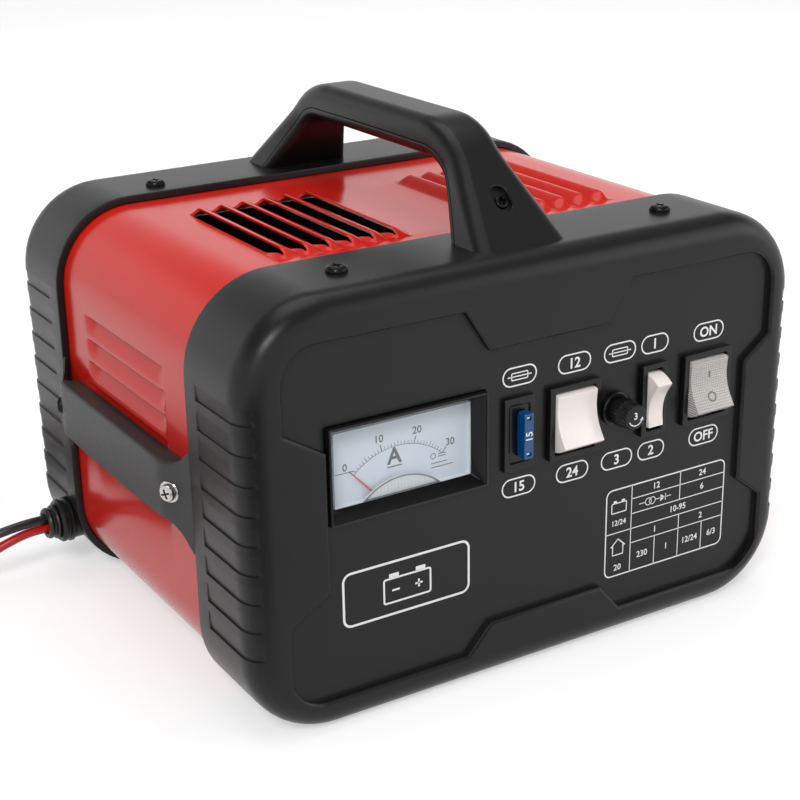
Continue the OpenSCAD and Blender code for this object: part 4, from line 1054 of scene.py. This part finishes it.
def build_handle():
    """Two shells that meet in a seam, bent from foot to foot over the body."""
    outer, inner = [], []
    turn = [math.radians(a) for a in range(0, 91, 15)]
    foot_half, grip_half, taper_height, inner_deep = 21, 12, 30.2, 5.2
    outer_round, inner_round = 6, 4.4
    for o, i in zip(arch(*OUTER_ARCH), arch(*INNER_ARCH)):
        w = foot_half - (foot_half - grip_half) * min(1, max(0, (o.y - TALL) / taper_height))
        thick = (i - o).length
        seam = thick - inner_deep
        way = (i - o) / thick

        def section(half):
            """Both halves of a section from points (across, depth behind the outer face)."""
            both = half + [(-x, d) for x, d in half[::-1]]
            return [(x, o.x + way.x * d, o.y + way.y * d) for x, d in both]

        q = outer_round
        edge = [(w - q + q * math.sin(a), q - q * math.cos(a)) for a in turn]
        outer.append(section(edge + [(w, seam - 0.5), (w - 0.15, seam - 0.15), (w - 0.8, seam)]))
        lip = [(w - 0.8, seam + 0.06), (w - 0.15, seam + 0.2), (w, seam + 0.5)]
        q = inner_round
        edge = [(w - q + q * math.cos(a), thick - q + q * math.sin(a)) for a in turn]
        inner.append(section(lip + edge))

    # An oval screw pocket in each leg, about 15 mm up
    foot, bend, rise, _ = OUTER_ARCH
    lean = Vector((0, bend - foot, rise)).normalized()
    out = Vector((0, -lean.z, lean.y))
    up = 15
    middle = Vector((0, foot + (bend - foot) * up / rise, TALL + up)) + lean
    oval = arc((0, 2.2), 3.7, 0, 180, 10) + arc((0, -2.2), 3.7, 180, 360, 10)
    pockets = Shape()
    for end in (0, 1):
        rings = []
        for grow, deep in ((0, -2.2), (0, -0.45), (0.35, -0.1), (0.8, 0.4), (0.8, 4)):
            places = [middle + Vector((u, 0, 0)) + lean * v + out * deep
                      for u, v in offset(oval, -grow)]
            rings.append([(p.x, DEEP - p.y if end else p.y, p.z) for p in places])
        pockets.loft(rings)
    Shape().loft(outer).piece("handle_upper", "housing", [moulded_abs()], ["handle_outer_shell"],
                              cut=pockets, even=True)
    Shape().loft(inner).piece("handle_lower", "housing", [moulded_abs()], ["handle_inner_shell"],
                              even=True)


# ---------------------------------------------------------------- strap and gland


def build_strap():
    """A steel strap that stands off the cover's left side, its ends flared."""
    # Distance along the body, place across it, lower edge and upper edge
    line = [(44.8, -128.6, 66.2, 105.6), (45.6, -129.2, 64.8, 107.0), (46.8, -129.9, 64.9, 107.9),
            (48.4, -130.8, 67.4, 106.4), (50, -131.6, 70.4, 104.4), (52, -132.7, 73.2, 102.6),
            (54.5, -134.1, 75.7, 101.5), (57.5, -135.7, 77.4, 101.2), (59.6, -136.7, 78.0, 101.3),
            (61.5, -137.1, 78.1, 101.6), (66, -137.2, 78.0, 101.7), (80, -137.2, 77.6, 101.7),
            (95, -137.2, 77.6, 101.7)]
    line += [(DEEP - y, x, low, high) for y, x, low, high in line[::-1]]
    rings = [[(x, y, low), (x, y, low + 0.4), (x, y, high - 1.2), (x + 0.35, y, high - 0.35),
              (x + 1.2, y, high)] for y, x, low, high in line]
    flange = [[(x + 1.2, y, high), (-126.7, y, min(high, 101.7) - 2.2)]
              for y, x, low, high in line[7:-7]]
    shape = Shape().skin(rings, closed=False).skin(flange, closed=False)
    shape.piece("carrying_strap", "housing", [painted_strap()], ["side_bracket"], "strap_steel",
                sharp=50, thick=1.6)


def build_strap_screws():
    """A bright screw and washer at the strap's front end, and a black one at its rear end."""
    head = Shape()
    washer = [(0, 0), (5.2, 0), (5.2, 0.5), (4.9, 0.8), (3.6, 0.9), (3.6, 1.1)]
    dome = [(4.1, 1.1), (4.1, 1.9), (3.7, 2.7), (2.6, 3.3), (0, 3.5)]
    head.lathe(washer + dome, (0, 0, 0), "z", 40)
    for turn in (20, 110):
        a = math.radians(turn)
        u, v = Vector((math.cos(a), math.sin(a))), Vector((-math.sin(a), math.cos(a)))
        bar = [u * p + v * q for p, q in ((-2.3, -0.45), (2.3, -0.45), (2.3, 0.45), (-2.3, 0.45))]
        head.slab([[tuple(p) for p in bar]], 3.54, 3.3, 0.05, lambda x, y, z: (x, y, z), 1)
    # The strap's flared end slopes away from the body's side
    flare = math.radians(28)
    slope = Vector((-math.cos(flare), -math.sin(flare), 0))
    basis = Matrix((Vector((-slope.y, slope.x, 0)), Vector((0, 0, 1)), slope)).transposed()
    at, scale = Vector((-134.6, 55.9, 89.3)), 0.85
    front = [basis @ Vector(p) * scale + at for p in head.points]
    rear = [(p.x, DEEP - p.y, p.z) for p in front]
    screws = Shape()
    for ink in (0, 1):
        screws.add(front, [f for f, i in zip(head.faces, head.inks) if i == ink], ink)
    screws.add(rear, head.faces, 1)
    screws.piece("strap_screws", "housing", [polished_nickel(), blackened_steel()],
                 ["bracket_screws"], "zinc_steel")


def build_gland():
    """The ribbed strain relief round both output leads."""
    outside = [(4.8, -118), (6.5, -118), (6.5, -136), (7.6, -136.3), (8.0, -137), (7.6, -137.8),
               (6.6, -138.2), (6.6, -139), (7.0, -139.4), (7.2, -140), (7.0, -140.8), (6.5, -141.4),
               (5.4, -141.5), (4.9, -141.0), (4.8, -140), (4.8, -118)]
    Shape().lathe(outside, (0, GLAND_Y, GLAND_Z), "x", 48).piece(
        "lead_strain_relief", "housing", [black_nylon()], ["lead_gland"], "black_nylon")


def build_tie():
    """A nylon tie round both coils, with its ratchet head on the outside."""
    # Just past the windings' outside, and just inside their hole
    x0, x1 = COIL[0] - 33.2, COIL[0] - 11.6
    loop = rounded(x1 - x0, 18.3, 1.6, ((x0 + x1) / 2, 9.2), 5)
    shape = Shape().slab([loop, offset(loop, 0.9)], COIL[1] - 2.4, COIL[1] + 2.4, 0.25)
    shape.block((x0 - 0.05, COIL[1] - 3.6, 6.5), (x0 + 1.5, COIL[1] + 3.6, 12.5), 0.4)
    shape.piece("coil_tie", "housing", [black_nylon()], ["lead_tie"], "black_nylon")


# ---------------------------------------------------------------- ammeter


def build_meter_case():
    """The frame round the window, and the housing behind it."""
    x = METER[0]
    front = rounded(69.9, 38.9, 0.7, METER, 4)
    window = rounded(60.5, 30, 0.5, METER, 4)
    rings = [(front, 6), (front, 0.85), (offset(front, 0.12), 0.55), (offset(front, 0.45), 0.4),
             (offset(front, 0.9), 0.42), (offset(front, 1.3), 0.7), (offset(window, -0.35), 5.3),
             (offset(window, -0.1), 5.55), (window, 5.9)]
    shape = Shape().skin([[forward(u, v, w) for u, v in loop] for loop, w in rings])
    back = rounded(74.5, 61.2, 1.5, (x, 95.9), 4)
    shape.slab([back, rounded(64, 57, 0.5, (x, 95.2), 4)], 6, 33.8, 0.3)
    shape.sheet([back, rounded(59, 56, 0.5, (x, 94.6), 4)], level(33.9))
    shape.piece("meter_case", "housing", [polished_abs()], ["meter_housing"], even=True)


def build_meter_card():
    """The dial: a card with a white surround that the window sits in."""
    x, z = METER
    half, foot = 31.6, PIVOT[1] + 6
    card = Shape()
    outline = [(x + half, foot), (x + half, z + 16.4), (x - half, z + 16.4), (x - half, foot)]
    card.slab([outline + arc(PIVOT, 7.5, 127, 53, 10)], 10.0, 10.8, 0.1)
    # The surround stays outside the window, so its walls show pale behind the glass
    ring = rounded(61.6, 31.2, 0.8, METER, 4)
    card.slab([rounded(63.4, 33, 0.8, METER, 4), ring], 7.3, 9.95, 0.1, ink=1)
    card.sheet([ring], level(10.92), 1)
    card.piece("meter_card", "housing", [dial_card(), meter_white()], ["meter_dial"], "dial_card")


def build_meter_scale():
    """0 to 30 over the needle's swing, a letter for the unit, and common instrument symbols."""
    x, z = METER
    on_card = level(9.97)
    base = 28.7  # the scale line's distance from the pivot

    def at(part, r):
        """A place at that part of the scale, that far from the pivot."""
        a = math.radians(NEEDLE_ZERO * (2 * part - 1))
        return (PIVOT[0] + r * math.sin(a), PIVOT[1] + r * math.cos(a))

    marks = Shape().stroke([at(i / 60, base) for i in range(61)], 0.22, on_card)
    for i in range(31):
        high = 2.9 if i % 10 == 0 else 2.2 if i % 5 == 0 else 1.5
        marks.stroke([at(i / 30, base), at(i / 30, base + high)], 0.24 if i % 10 else 0.42, on_card)
    for i, text in enumerate(("0", "10", "20", "30")):
        marks.letters(text, 4.2, at(i / 3, base + 5.5), on_card, 0.06)
    marks.letters("A", 9.2, (x - 1.7, z - 1.2), on_card, 0.2)
    marks.stroke(circle((x + 15.6, z - 5.7), 1.1, 20), 0.3, on_card, True)
    # A line under the letter, and the lines of the small symbols
    for left, right, low, width in ((-5, 1.6, -5.6, 0.5), (14.6, 24.5, -10.4, 0.34),
                                    (14.6, 21.9, -8.7, 0.34), (17.8, 21.5, -6.2, 0.34),
                                    (17.8, 21.5, -5.2, 0.34), (-27.5, -19.5, -3.4, 0.34)):
        marks.stroke([(x + left, z + low), (x + right, z + low)], width, on_card)
    marks.piece("meter_scale", "housing", [black_ink()], (), "dial_card")


def build_meter_front():
    """The window, and the milky half-moon over the needle's pivot."""
    x = METER[0]
    Shape().slab([rounded(61.2, 30.7, 0.4, METER, 4)], 5.95, 7.1, 0.15).piece(
        "meter_window", "housing", [clear_acrylic()], ["meter_lens"], "clear_lens")
    # The half-moon is cut straight, just under the window's lower edge
    centre, r, cut = (x, PIVOT[1] - 7.5), 25, 89
    half = math.degrees(math.asin((cut - centre[1]) / r))
    dome = arc(centre, r, half, 180 - half, 30)
    moon = Shape().slab([dome], 7.25, 8.05, 0.25)
    moon.stroke(offset(dome, 0.35), 0.7, level(7.2), True, 1)
    moon.piece("meter_half_moon", "housing", [frosted_acrylic(), grey_ink()],
               ["meter_pivot_cover"], "clear_lens")


def build_needle():
    """The needle and its spindle, at zero."""
    lean = Matrix.Rotation(math.radians(NEEDLE_ZERO), 2)

    def swung(u, v, w):
        p = lean @ Vector((u, v))
        return forward(PIVOT[0] + p.x, PIVOT[1] + p.y, w)

    right = [(1.1, -8), (0.55, 14), (0.3, 27), (0.14, 30.6)]
    needle = Shape().slab([right + [(-u, v) for u, v in right[::-1]]], 9.0, 9.35, 0.05, swung)
    needle.lathe([(0, 8.9), (1.6, 8.9), (2, 9.2), (2, 10.2), (0.8, 10.3), (0.8, 30), (0, 30)],
                 (PIVOT[0], 0, PIVOT[1]), "y", 24)
    needle.piece("meter_pointer", "needle", [needle_paint()], ["meter_needle"], "needle_red")


def build_meter():
    build_meter_case()
    build_meter_card()
    build_meter_scale()
    build_meter_front()
    build_needle()


# ---------------------------------------------------------------- fuses


# The blade fuse: its middle, right of its holder's, and its face, in front of the bezel's rim
BLADE_FUSE_X, BLADE_FUSE_Y = BLADE_X + 1.2, -3.5


def build_fuse_holder():
    """A raised frame round a sunk floor, with the fuse's sleeve through both."""
    at = (BLADE_X, ROW_Z)
    holder = Shape()
    holder.slab([rounded(14.4, 30.6, 0.8, at, 4), rounded(8.8, 23.6, 0.6, at, 4)], 1.0, 2.98, 0.35,
                inner=0.9)
    sleeve = rounded(4.4, 17, 0.5, (BLADE_FUSE_X, ROW_Z), 3)
    holder.slab([rounded(8.7, 23.5, 0.5, at, 3), sleeve], 1.6, 2.97, 0.1)
    holder.slab([rounded(12, 28, 0.5, at, 3), sleeve], 2.99, 26, 0.1)
    holder.piece("fuse_holder", "housing", [polished_abs()], ["blade_fuse_holder"])


def build_blade_fuse():
    """The fuse's tinted body over its element, with its rating read from top to bottom."""
    x, y, z = BLADE_FUSE_X, BLADE_FUSE_Y, ROW_Z
    point_z = 7.5  # the bright test points in the face, from the middle
    windows = [rounded(2.2, 1.5, 0.3, (x, z + side * point_z), 2) for side in (1, -1)]
    fuse = Shape()
    fuse.slab([rounded(4.6, 19.1, 0.9, (x, z), 4)] + windows, y, y + 4.2, 0.55, inner=0.15)
    fuse.slab([rounded(3.8, 16.4, 0.4, (x, z), 3)], y + 4.2, y + 12, 0.02)
    for side in (-1, 1):
        fuse.slab([rounded(1.5, 0.9, 0.2, (x, z + side * point_z), 2)], y + 0.7, y + 1.5, 0.1,
                  ink=2)

    def upright(u, v):
        return forward(x - (v - z), z + (u - x), y - 0.03)

    fuse.letters("15", 4.4, (x, z), upright, 0.06, ink=1)
    fuse.piece("blade_fuse_body", "blade_fuse", [fuse_plastic(), white_ink(), tinned_brass()],
               ["blade_fuse"], "fuse_blue")


def build_fuse_cap():
    """The round fuse's socket, and its knurled cap."""
    middle = (FUSE_X, 0, ROW_Z)
    ring = [(4.7, 0.5), (5.2, 0.2), (6.7, 0.2), (7.15, 0.6), (7.25, 1.2), (7.25, 2.98), (5.9, 2.98),
            (5.9, 38), (4.7, 38), (4.7, 0.5)]
    Shape().lathe(ring, middle, "y", 48).piece(
        "fuse_socket_ring", "housing", [polished_abs()], ["fuse_socket"])

    def knurl(i, r):
        """Flutes in the widest part, by two points of each four."""
        return -0.42 if (i // 2) % 2 and r > 5.25 else 0

    knob = [(0, -11), (3.6, -11), (4.9, -10.8), (5.3, -10.3), (5.45, -9.4), (5.5, -7.0),
            (5.6, -6.7), (5.8, -6.5), (6.0, -6.1), (6.0, -2.6), (5.7, -2.2), (5.0, -2.0)]
    stem = [(4.9, -0.6), (4.4, -0.6), (4.4, 12), (3.45, 12), (3.45, -6), (0, -6)]
    cap = Shape().lathe(knob + stem, middle, "y", 96, wave=knurl)
    # An arrow round the figure on the cap's face
    on_face = level(-11.03)
    line = arc((FUSE_X, ROW_Z), 3.4, 205, 335, 14)
    u, v = line[-1]
    cap.stroke(line, 0.45, on_face, ink=1)
    cap.sheet([[(u - 1.0, v - 0.2), (u + 0.75, v - 0.1), (u + 0.3, v + 1.4)]], on_face, 1)
    cap.letters("3", 4.0, (FUSE_X, ROW_Z + 0.7), on_face, 0.08, ink=1)
    cap.piece("fuse_cap_knob", "fuse_cap", [moulded_abs(), white_ink()], ["fuse_cap"])


def build_fuses():
    build_fuse_holder()
    build_blade_fuse()
    build_fuse_cap()


# ---------------------------------------------------------------- switches

ROCKER_TILT = 14  # a rocker's tilt to either side, in degrees


def switch_frame(name, x, w):
    """A switch's rim on the panel, and its walls and back behind the panel."""
    at = (x, ROW_Z)
    shape = Shape()
    opening, walls = rounded(w - 5.2, 26.6, 0.5, at, 3), rounded(w - 2.4, 28.6, 0.5, at, 3)
    shape.slab([rounded(w, 31, 0.8, at, 4), opening], 0.4, 2.98, 0.35, inner=0.3)
    shape.slab([walls, opening], 2.99, 19.3, 0.02)
    shape.slab([walls], 19.31, 21.4, 0.1)
    shape.piece(name + "_switch_frame", "housing", [polished_abs()], [name + "_switch_housing"])


def rocker(name, x, w, tall, tilt, materials, slot, marks=False):
    """A rocker with a hollowed face, on two stub axles; tall scales its height."""
    middle_y, half, turn = 3.0, w / 2, math.radians(tilt)

    def place(u, depth, height):
        height *= tall
        y = depth * math.cos(turn) - height * math.sin(turn)
        z = depth * math.sin(turn) + height * math.cos(turn)
        return (x + u, middle_y + y, ROW_Z + z)

    # The face's ends from the axle, and the hollow's depth and half height
    face, dip, reach = -6.6, 2.45, 11.1

    def hollow(h):
        return face + dip * (1 - (h / reach) ** 2) ** 1.25 if abs(h) < reach else face

    heights = [reach - 2 * reach * i / 24 for i in range(25)]
    end = arc((0, 0), 12.95, 243.5, 286, 5)
    side = ([(hollow(h), h) for h in heights] + end + [(4, -12.2), (4, 12.2)]
            + [(d, -h) for d, h in end[::-1]])
    loop = turned_left(side)
    rounding = ((0, 0.35), (0.1, 0.1), (0.35, 0))
    ends = [(u - half, inset) for u, inset in rounding]
    ends += [(half - u, inset) for u, inset in rounding[::-1]]
    shape = Shape().loft([[place(u, d, h) for d, h in offset(loop, inset)] for u, inset in ends])
    axle = [(0, -half - 0.5), (1.5, -half - 0.5), (1.5, half + 0.5), (0, half + 0.5)]
    shape.lathe(axle, (x, middle_y, ROW_Z), "x", 20)
    if marks:
        def on_face(u, h):
            return place(u, hollow(h) - 0.05, h)

        shape.stroke([(0, 3.4), (0, 4.4), (0, 5.4), (0, 6.4)], 1.0, on_face, ink=1)
        shape.stroke(circle((0, -5.2), 1.9, 28), 0.7, on_face, True, ink=1)
    node = name + "_rocker"
    shape.piece(name + "_switch_rocker", node, materials, [node], slot, sharp=38)


def build_switches():
    """The frames of the three switches, and their rockers tilted as at rest."""
    white, clear = [rocker_plastic()], [clear_rocker(), grey_ink()]
    snapped = 1.1  # the switches are pushed against the right sides of their holes
    switches = (
        ("voltage", VOLTAGE_X + snapped, 25, 0.94, -ROCKER_TILT, white, "white_plastic"),
        ("boost", BOOST_X + snapped, 13, 0.9, ROCKER_TILT, white, "white_plastic"),
        ("power", POWER_X + snapped, 25, 0.94, -ROCKER_TILT, clear, "clear_rocker"))
    for name, x, w, *_ in switches:
        switch_frame(name, x, w)
    for name, x, w, tall, tilt, materials, slot in switches:
        rocker(name, x, w - 5.6, tall, tilt, materials, slot, marks=name == "power")


# ---------------------------------------------------------------- printing


# Heights of the marks over and under the row of switches
UPPER_Z, LOWER_Z = 126.6, 80.2


def print_switch_marks(shape, line, flat):
    """A rounded frame over and under each switch, with a figure, a word or a fuse's symbol."""
    marks = [(-9.6, 15.6, None, "15"), (16.7, 15.6, "12", "24"), (39.3, 15.6, None, "3"),
             (85.6, 15.6, "ON", "OFF"), (BOOST_X + 2.2, 13.6, "1", "2")]
    for x, wide, *texts in marks:
        for z, text in zip((UPPER_Z, LOWER_Z), texts):
            shape.stroke(rounded(wide, 7.4, 3.65, (x, z), 8), line, flat, True)
            if text:
                shape.letters(text, 6.0, (x, z), flat, 0.15)
            else:
                shape.stroke(rounded(7.6, 2.8, 0.3, (x, z), 1), 0.5, flat, True)
                shape.stroke([(x - 5.6, z), (x + 5.6, z)], 0.5, flat)


def print_battery(shape, flat):
    """A plain battery symbol in the frame on the lower left."""
    x, z = -61.6, 51.2
    shape.stroke(rounded(56.6, 22.2, 3.4, (x, z + 1), 6), 1.0, flat, True)
    shape.stroke(rounded(21, 10.2, 0.8, (x, z), 3), 0.8, flat, True)
    for side in (-1, 1):
        shape.sheet([rounded(4.4, 1.8, 0.3, (x + side * 6, z + 6.3), 2)], flat)
        shape.stroke([(x + side * 5.2 - 1.7, z), (x + side * 5.2 + 1.7, z)], 0.8, flat)
    shape.stroke([(x + 5.2, z - 1.7), (x + 5.2, z + 1.7)], 0.8, flat)


def print_data_grid(shape, line, grid):
    """A table on the lower right, with plain figures and symbols."""
    x0, x1, z0, z1 = 32.3, 96.0, 28.8, 68.4
    frame_line = rounded(x1 - x0, z1 - z0, 3, ((x0 + x1) / 2, (z0 + z1) / 2), 6)
    shape.stroke(frame_line, line, grid, True)
    across = [(x0, 48.6)] + [(45.5, z) for z in (62.2, 55.4, 42.0)]
    upright = [(45.5, z0, z1), (71.5, z0, 48.6), (71.5, 55.4, z1), (58.5, z0, 42.0),
               (84.5, z0, 42.0)]
    for x, z in across:
        shape.stroke([(x, z), (x1, z)], 0.42, grid)
    for x, low, high in upright:
        shape.stroke([(x, low), (x, high)], 0.42, grid)
    # Battery and shelter symbols
    shape.stroke(rounded(7.6, 4.4, 0.4, (38.9, 60), 2), 0.5, grid, True)
    for side in (-1, 1):
        shape.sheet([rounded(1.7, 1.0, 0.2, (38.9 + side * 2.1, 62.9), 1)], grid)
    shape.letters("12/24", 3.4, (38.9, 53.2), grid, 0.06)
    shape.stroke([(35.2, 42.2), (38.9, 45.6), (42.6, 42.2)], 0.6, grid)
    shape.stroke([(36.2, 42.6), (36.2, 38.4), (41.6, 38.4), (41.6, 42.6)], 0.6, grid)
    for text, u, v in (("12", 58.5, 65.3), ("24", 83.7, 65.3), ("6", 83.7, 58.8),
                       ("10-95", 70.7, 52.0), ("1", 58.5, 45.2), ("2", 83.7, 45.2),
                       ("230", 52, 35.6), ("1", 65, 35.6), ("12/24", 78, 35.6),
                       ("6/3", 90.3, 35.6), ("20", 38.9, 32.6)):
        shape.letters(text, 3.9, (u, v), grid, 0.07)
    # A transformer and diode symbol
    z, thin = 58.8, 0.35
    for x in (54.5, 56.6):
        shape.stroke(circle((x, z), 1.6, 20), thin, grid, True)
    shape.stroke([(49.5, z), (52.9, z)], thin, grid)
    shape.stroke([(58.2, z), (66.8, z)], thin, grid)
    shape.sheet([[(61, 57.2), (61, 60.4), (63.6, z)]], grid)
    shape.stroke([(63.7, 57.2), (63.7, 60.4)], thin, grid)


def build_printing():
    """White marks on the panel: plain figures, ON and OFF, and common symbols only."""
    shape = Shape()
    line = sizes().print_width / MM
    flat = level(sizes().recess_depth / MM - 0.04)
    print_switch_marks(shape, line, flat)
    print_battery(shape, flat)
    print_data_grid(shape, line, lambda u, v: flat(u + 2.6, v - 2))
    shape.piece("panel_printing", "housing", [white_ink()], (), "dial_card")


# ---------------------------------------------------------------- carried-over pieces


def build_finishes():
    """Gives each piece that keeps its own mesh the material of the real one."""
    given = {
        zinc_plate: ["base_plate", "base_screws", "handle_bolts", "core_frame", "core_bolts",
                     "red_clamp_pin", "black_clamp_pin"],
        blackened_steel: ["bezel_screws", "handle_screws"],
        magnet_iron: ["meter_magnet"],
        enamelled_wire: ["meter_coil", "primary_winding", "secondary_winding"],
        tinned_brass: ["blade_fuse_element", "glass_fuse_caps"],
        fuse_glass: ["glass_fuse_tube"],
        neon_glass: ["power_lamp"],
        rolled_brass: ["switch_terminals"],
        silicon_steel: ["transformer_core"],
        bakelite: ["coil_bobbin"],
        extruded_aluminium: ["heat_sink"],
        black_nylon: ["fuse_socket_nut", "mains_gland", "bridge_rectifier", "thermal_cutout"],
        spring_steel: ["red_clamp_spring", "black_clamp_spring"],
        red_vinyl: ["red_clamp_fixed_arm", "red_clamp_moving_arm"],
        black_vinyl: ["black_clamp_fixed_arm", "black_clamp_moving_arm"],
    }
    for material, nodes in given.items():
        for name in nodes:
            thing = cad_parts[name]
            if not thing.material_slots:
                thing.data.materials.append(None)
            for slot in thing.material_slots:
                slot.material = material()


# ---------------------------------------------------------------- operators


class CHARGER_OT_leads(bpy.types.Operator):
    """Makes the two output leads with their coils"""
    bl_idname = "charger.leads"
    bl_label = "Output Leads"

    def execute(self, context):
        build_leads()
        return {"FINISHED"}


class CHARGER_OT_stage(bpy.types.Operator):
    """Makes the camera, the lights and the floor"""
    bl_idname = "charger.stage"
    bl_label = "Stage"

    def execute(self, context):
        build_stage()
        return {"FINISHED"}


class CHARGER_OT_bezels(bpy.types.Operator):
    """Makes the front and rear bezels"""
    bl_idname = "charger.bezels"
    bl_label = "Bezels"

    def execute(self, context):
        build_bezels()
        return {"FINISHED"}


class CHARGER_OT_cover(bpy.types.Operator):
    """Makes the louvred steel cover"""
    bl_idname = "charger.cover"
    bl_label = "Cover"

    def execute(self, context):
        build_cover()
        return {"FINISHED"}


class CHARGER_OT_handle(bpy.types.Operator):
    """Makes the two shells of the handle"""
    bl_idname = "charger.handle"
    bl_label = "Handle"

    def execute(self, context):
        build_handle()
        return {"FINISHED"}


class CHARGER_OT_strap(bpy.types.Operator):
    """Makes the strap on the left side and its screws"""
    bl_idname = "charger.strap"
    bl_label = "Side Strap"

    def execute(self, context):
        build_strap()
        build_strap_screws()
        return {"FINISHED"}


class CHARGER_OT_gland(bpy.types.Operator):
    """Makes the output leads' strain relief and the tie round their coils"""
    bl_idname = "charger.gland"
    bl_label = "Gland and Tie"

    def execute(self, context):
        build_gland()
        build_tie()
        return {"FINISHED"}


class CHARGER_OT_meter(bpy.types.Operator):
    """Makes the ammeter"""
    bl_idname = "charger.meter"
    bl_label = "Ammeter"

    def execute(self, context):
        build_meter()
        return {"FINISHED"}


class CHARGER_OT_fuses(bpy.types.Operator):
    """Makes the blade fuse and the round fuse's cap with their holders"""
    bl_idname = "charger.fuses"
    bl_label = "Fuses"

    def execute(self, context):
        build_fuses()
        return {"FINISHED"}


class CHARGER_OT_switches(bpy.types.Operator):
    """Makes the three rocker switches"""
    bl_idname = "charger.switches"
    bl_label = "Switches"

    def execute(self, context):
        build_switches()
        return {"FINISHED"}


class CHARGER_OT_printing(bpy.types.Operator):
    """Prints the plain figures and symbols on the panel"""
    bl_idname = "charger.printing"
    bl_label = "Panel Printing"

    def execute(self, context):
        build_printing()
        return {"FINISHED"}


class CHARGER_OT_finishes(bpy.types.Operator):
    """Gives the carried-over pieces their materials"""
    bl_idname = "charger.finishes"
    bl_label = "Inner Pieces"

    def execute(self, context):
        build_finishes()
        return {"FINISHED"}


OPERATORS = (CHARGER_OT_stage, CHARGER_OT_leads, CHARGER_OT_bezels, CHARGER_OT_cover,
             CHARGER_OT_handle, CHARGER_OT_strap, CHARGER_OT_gland, CHARGER_OT_meter,
             CHARGER_OT_fuses, CHARGER_OT_switches, CHARGER_OT_printing, CHARGER_OT_finishes)


class CHARGER_PT_sidebar(bpy.types.Panel):
    """Lists the charger's pieces and settings"""
    bl_idname = "CHARGER_PT_sidebar"
    bl_label = "Car Battery Charger"
    bl_space_type = "VIEW_3D"
    bl_region_type = "UI"
    bl_category = "Charger"

    def draw(self, context):
        for group in (context.scene.charger_sizes, context.scene.charger_colours):
            column = self.layout.column(align=True)
            for name in group.__annotations__:
                column.prop(group, name)
        for operator in OPERATORS:
            self.layout.operator(operator.bl_idname)


CLASSES = (ChargerSizes, ChargerColours) + OPERATORS + (CHARGER_PT_sidebar,)


def register():
    for cls in CLASSES:
        bpy.utils.register_class(cls)
    bpy.types.Scene.charger_sizes = PointerProperty(type=ChargerSizes)
    bpy.types.Scene.charger_colours = PointerProperty(type=ChargerColours)


def unregister():
    del bpy.types.Scene.charger_colours
    del bpy.types.Scene.charger_sizes
    for cls in reversed(CLASSES):
        bpy.utils.unregister_class(cls)


def main():
    register()
    for operator in OPERATORS:
        group, name = operator.bl_idname.split(".")
        getattr(getattr(bpy.ops, group), name)()


if __name__ == "__main__":
    main()
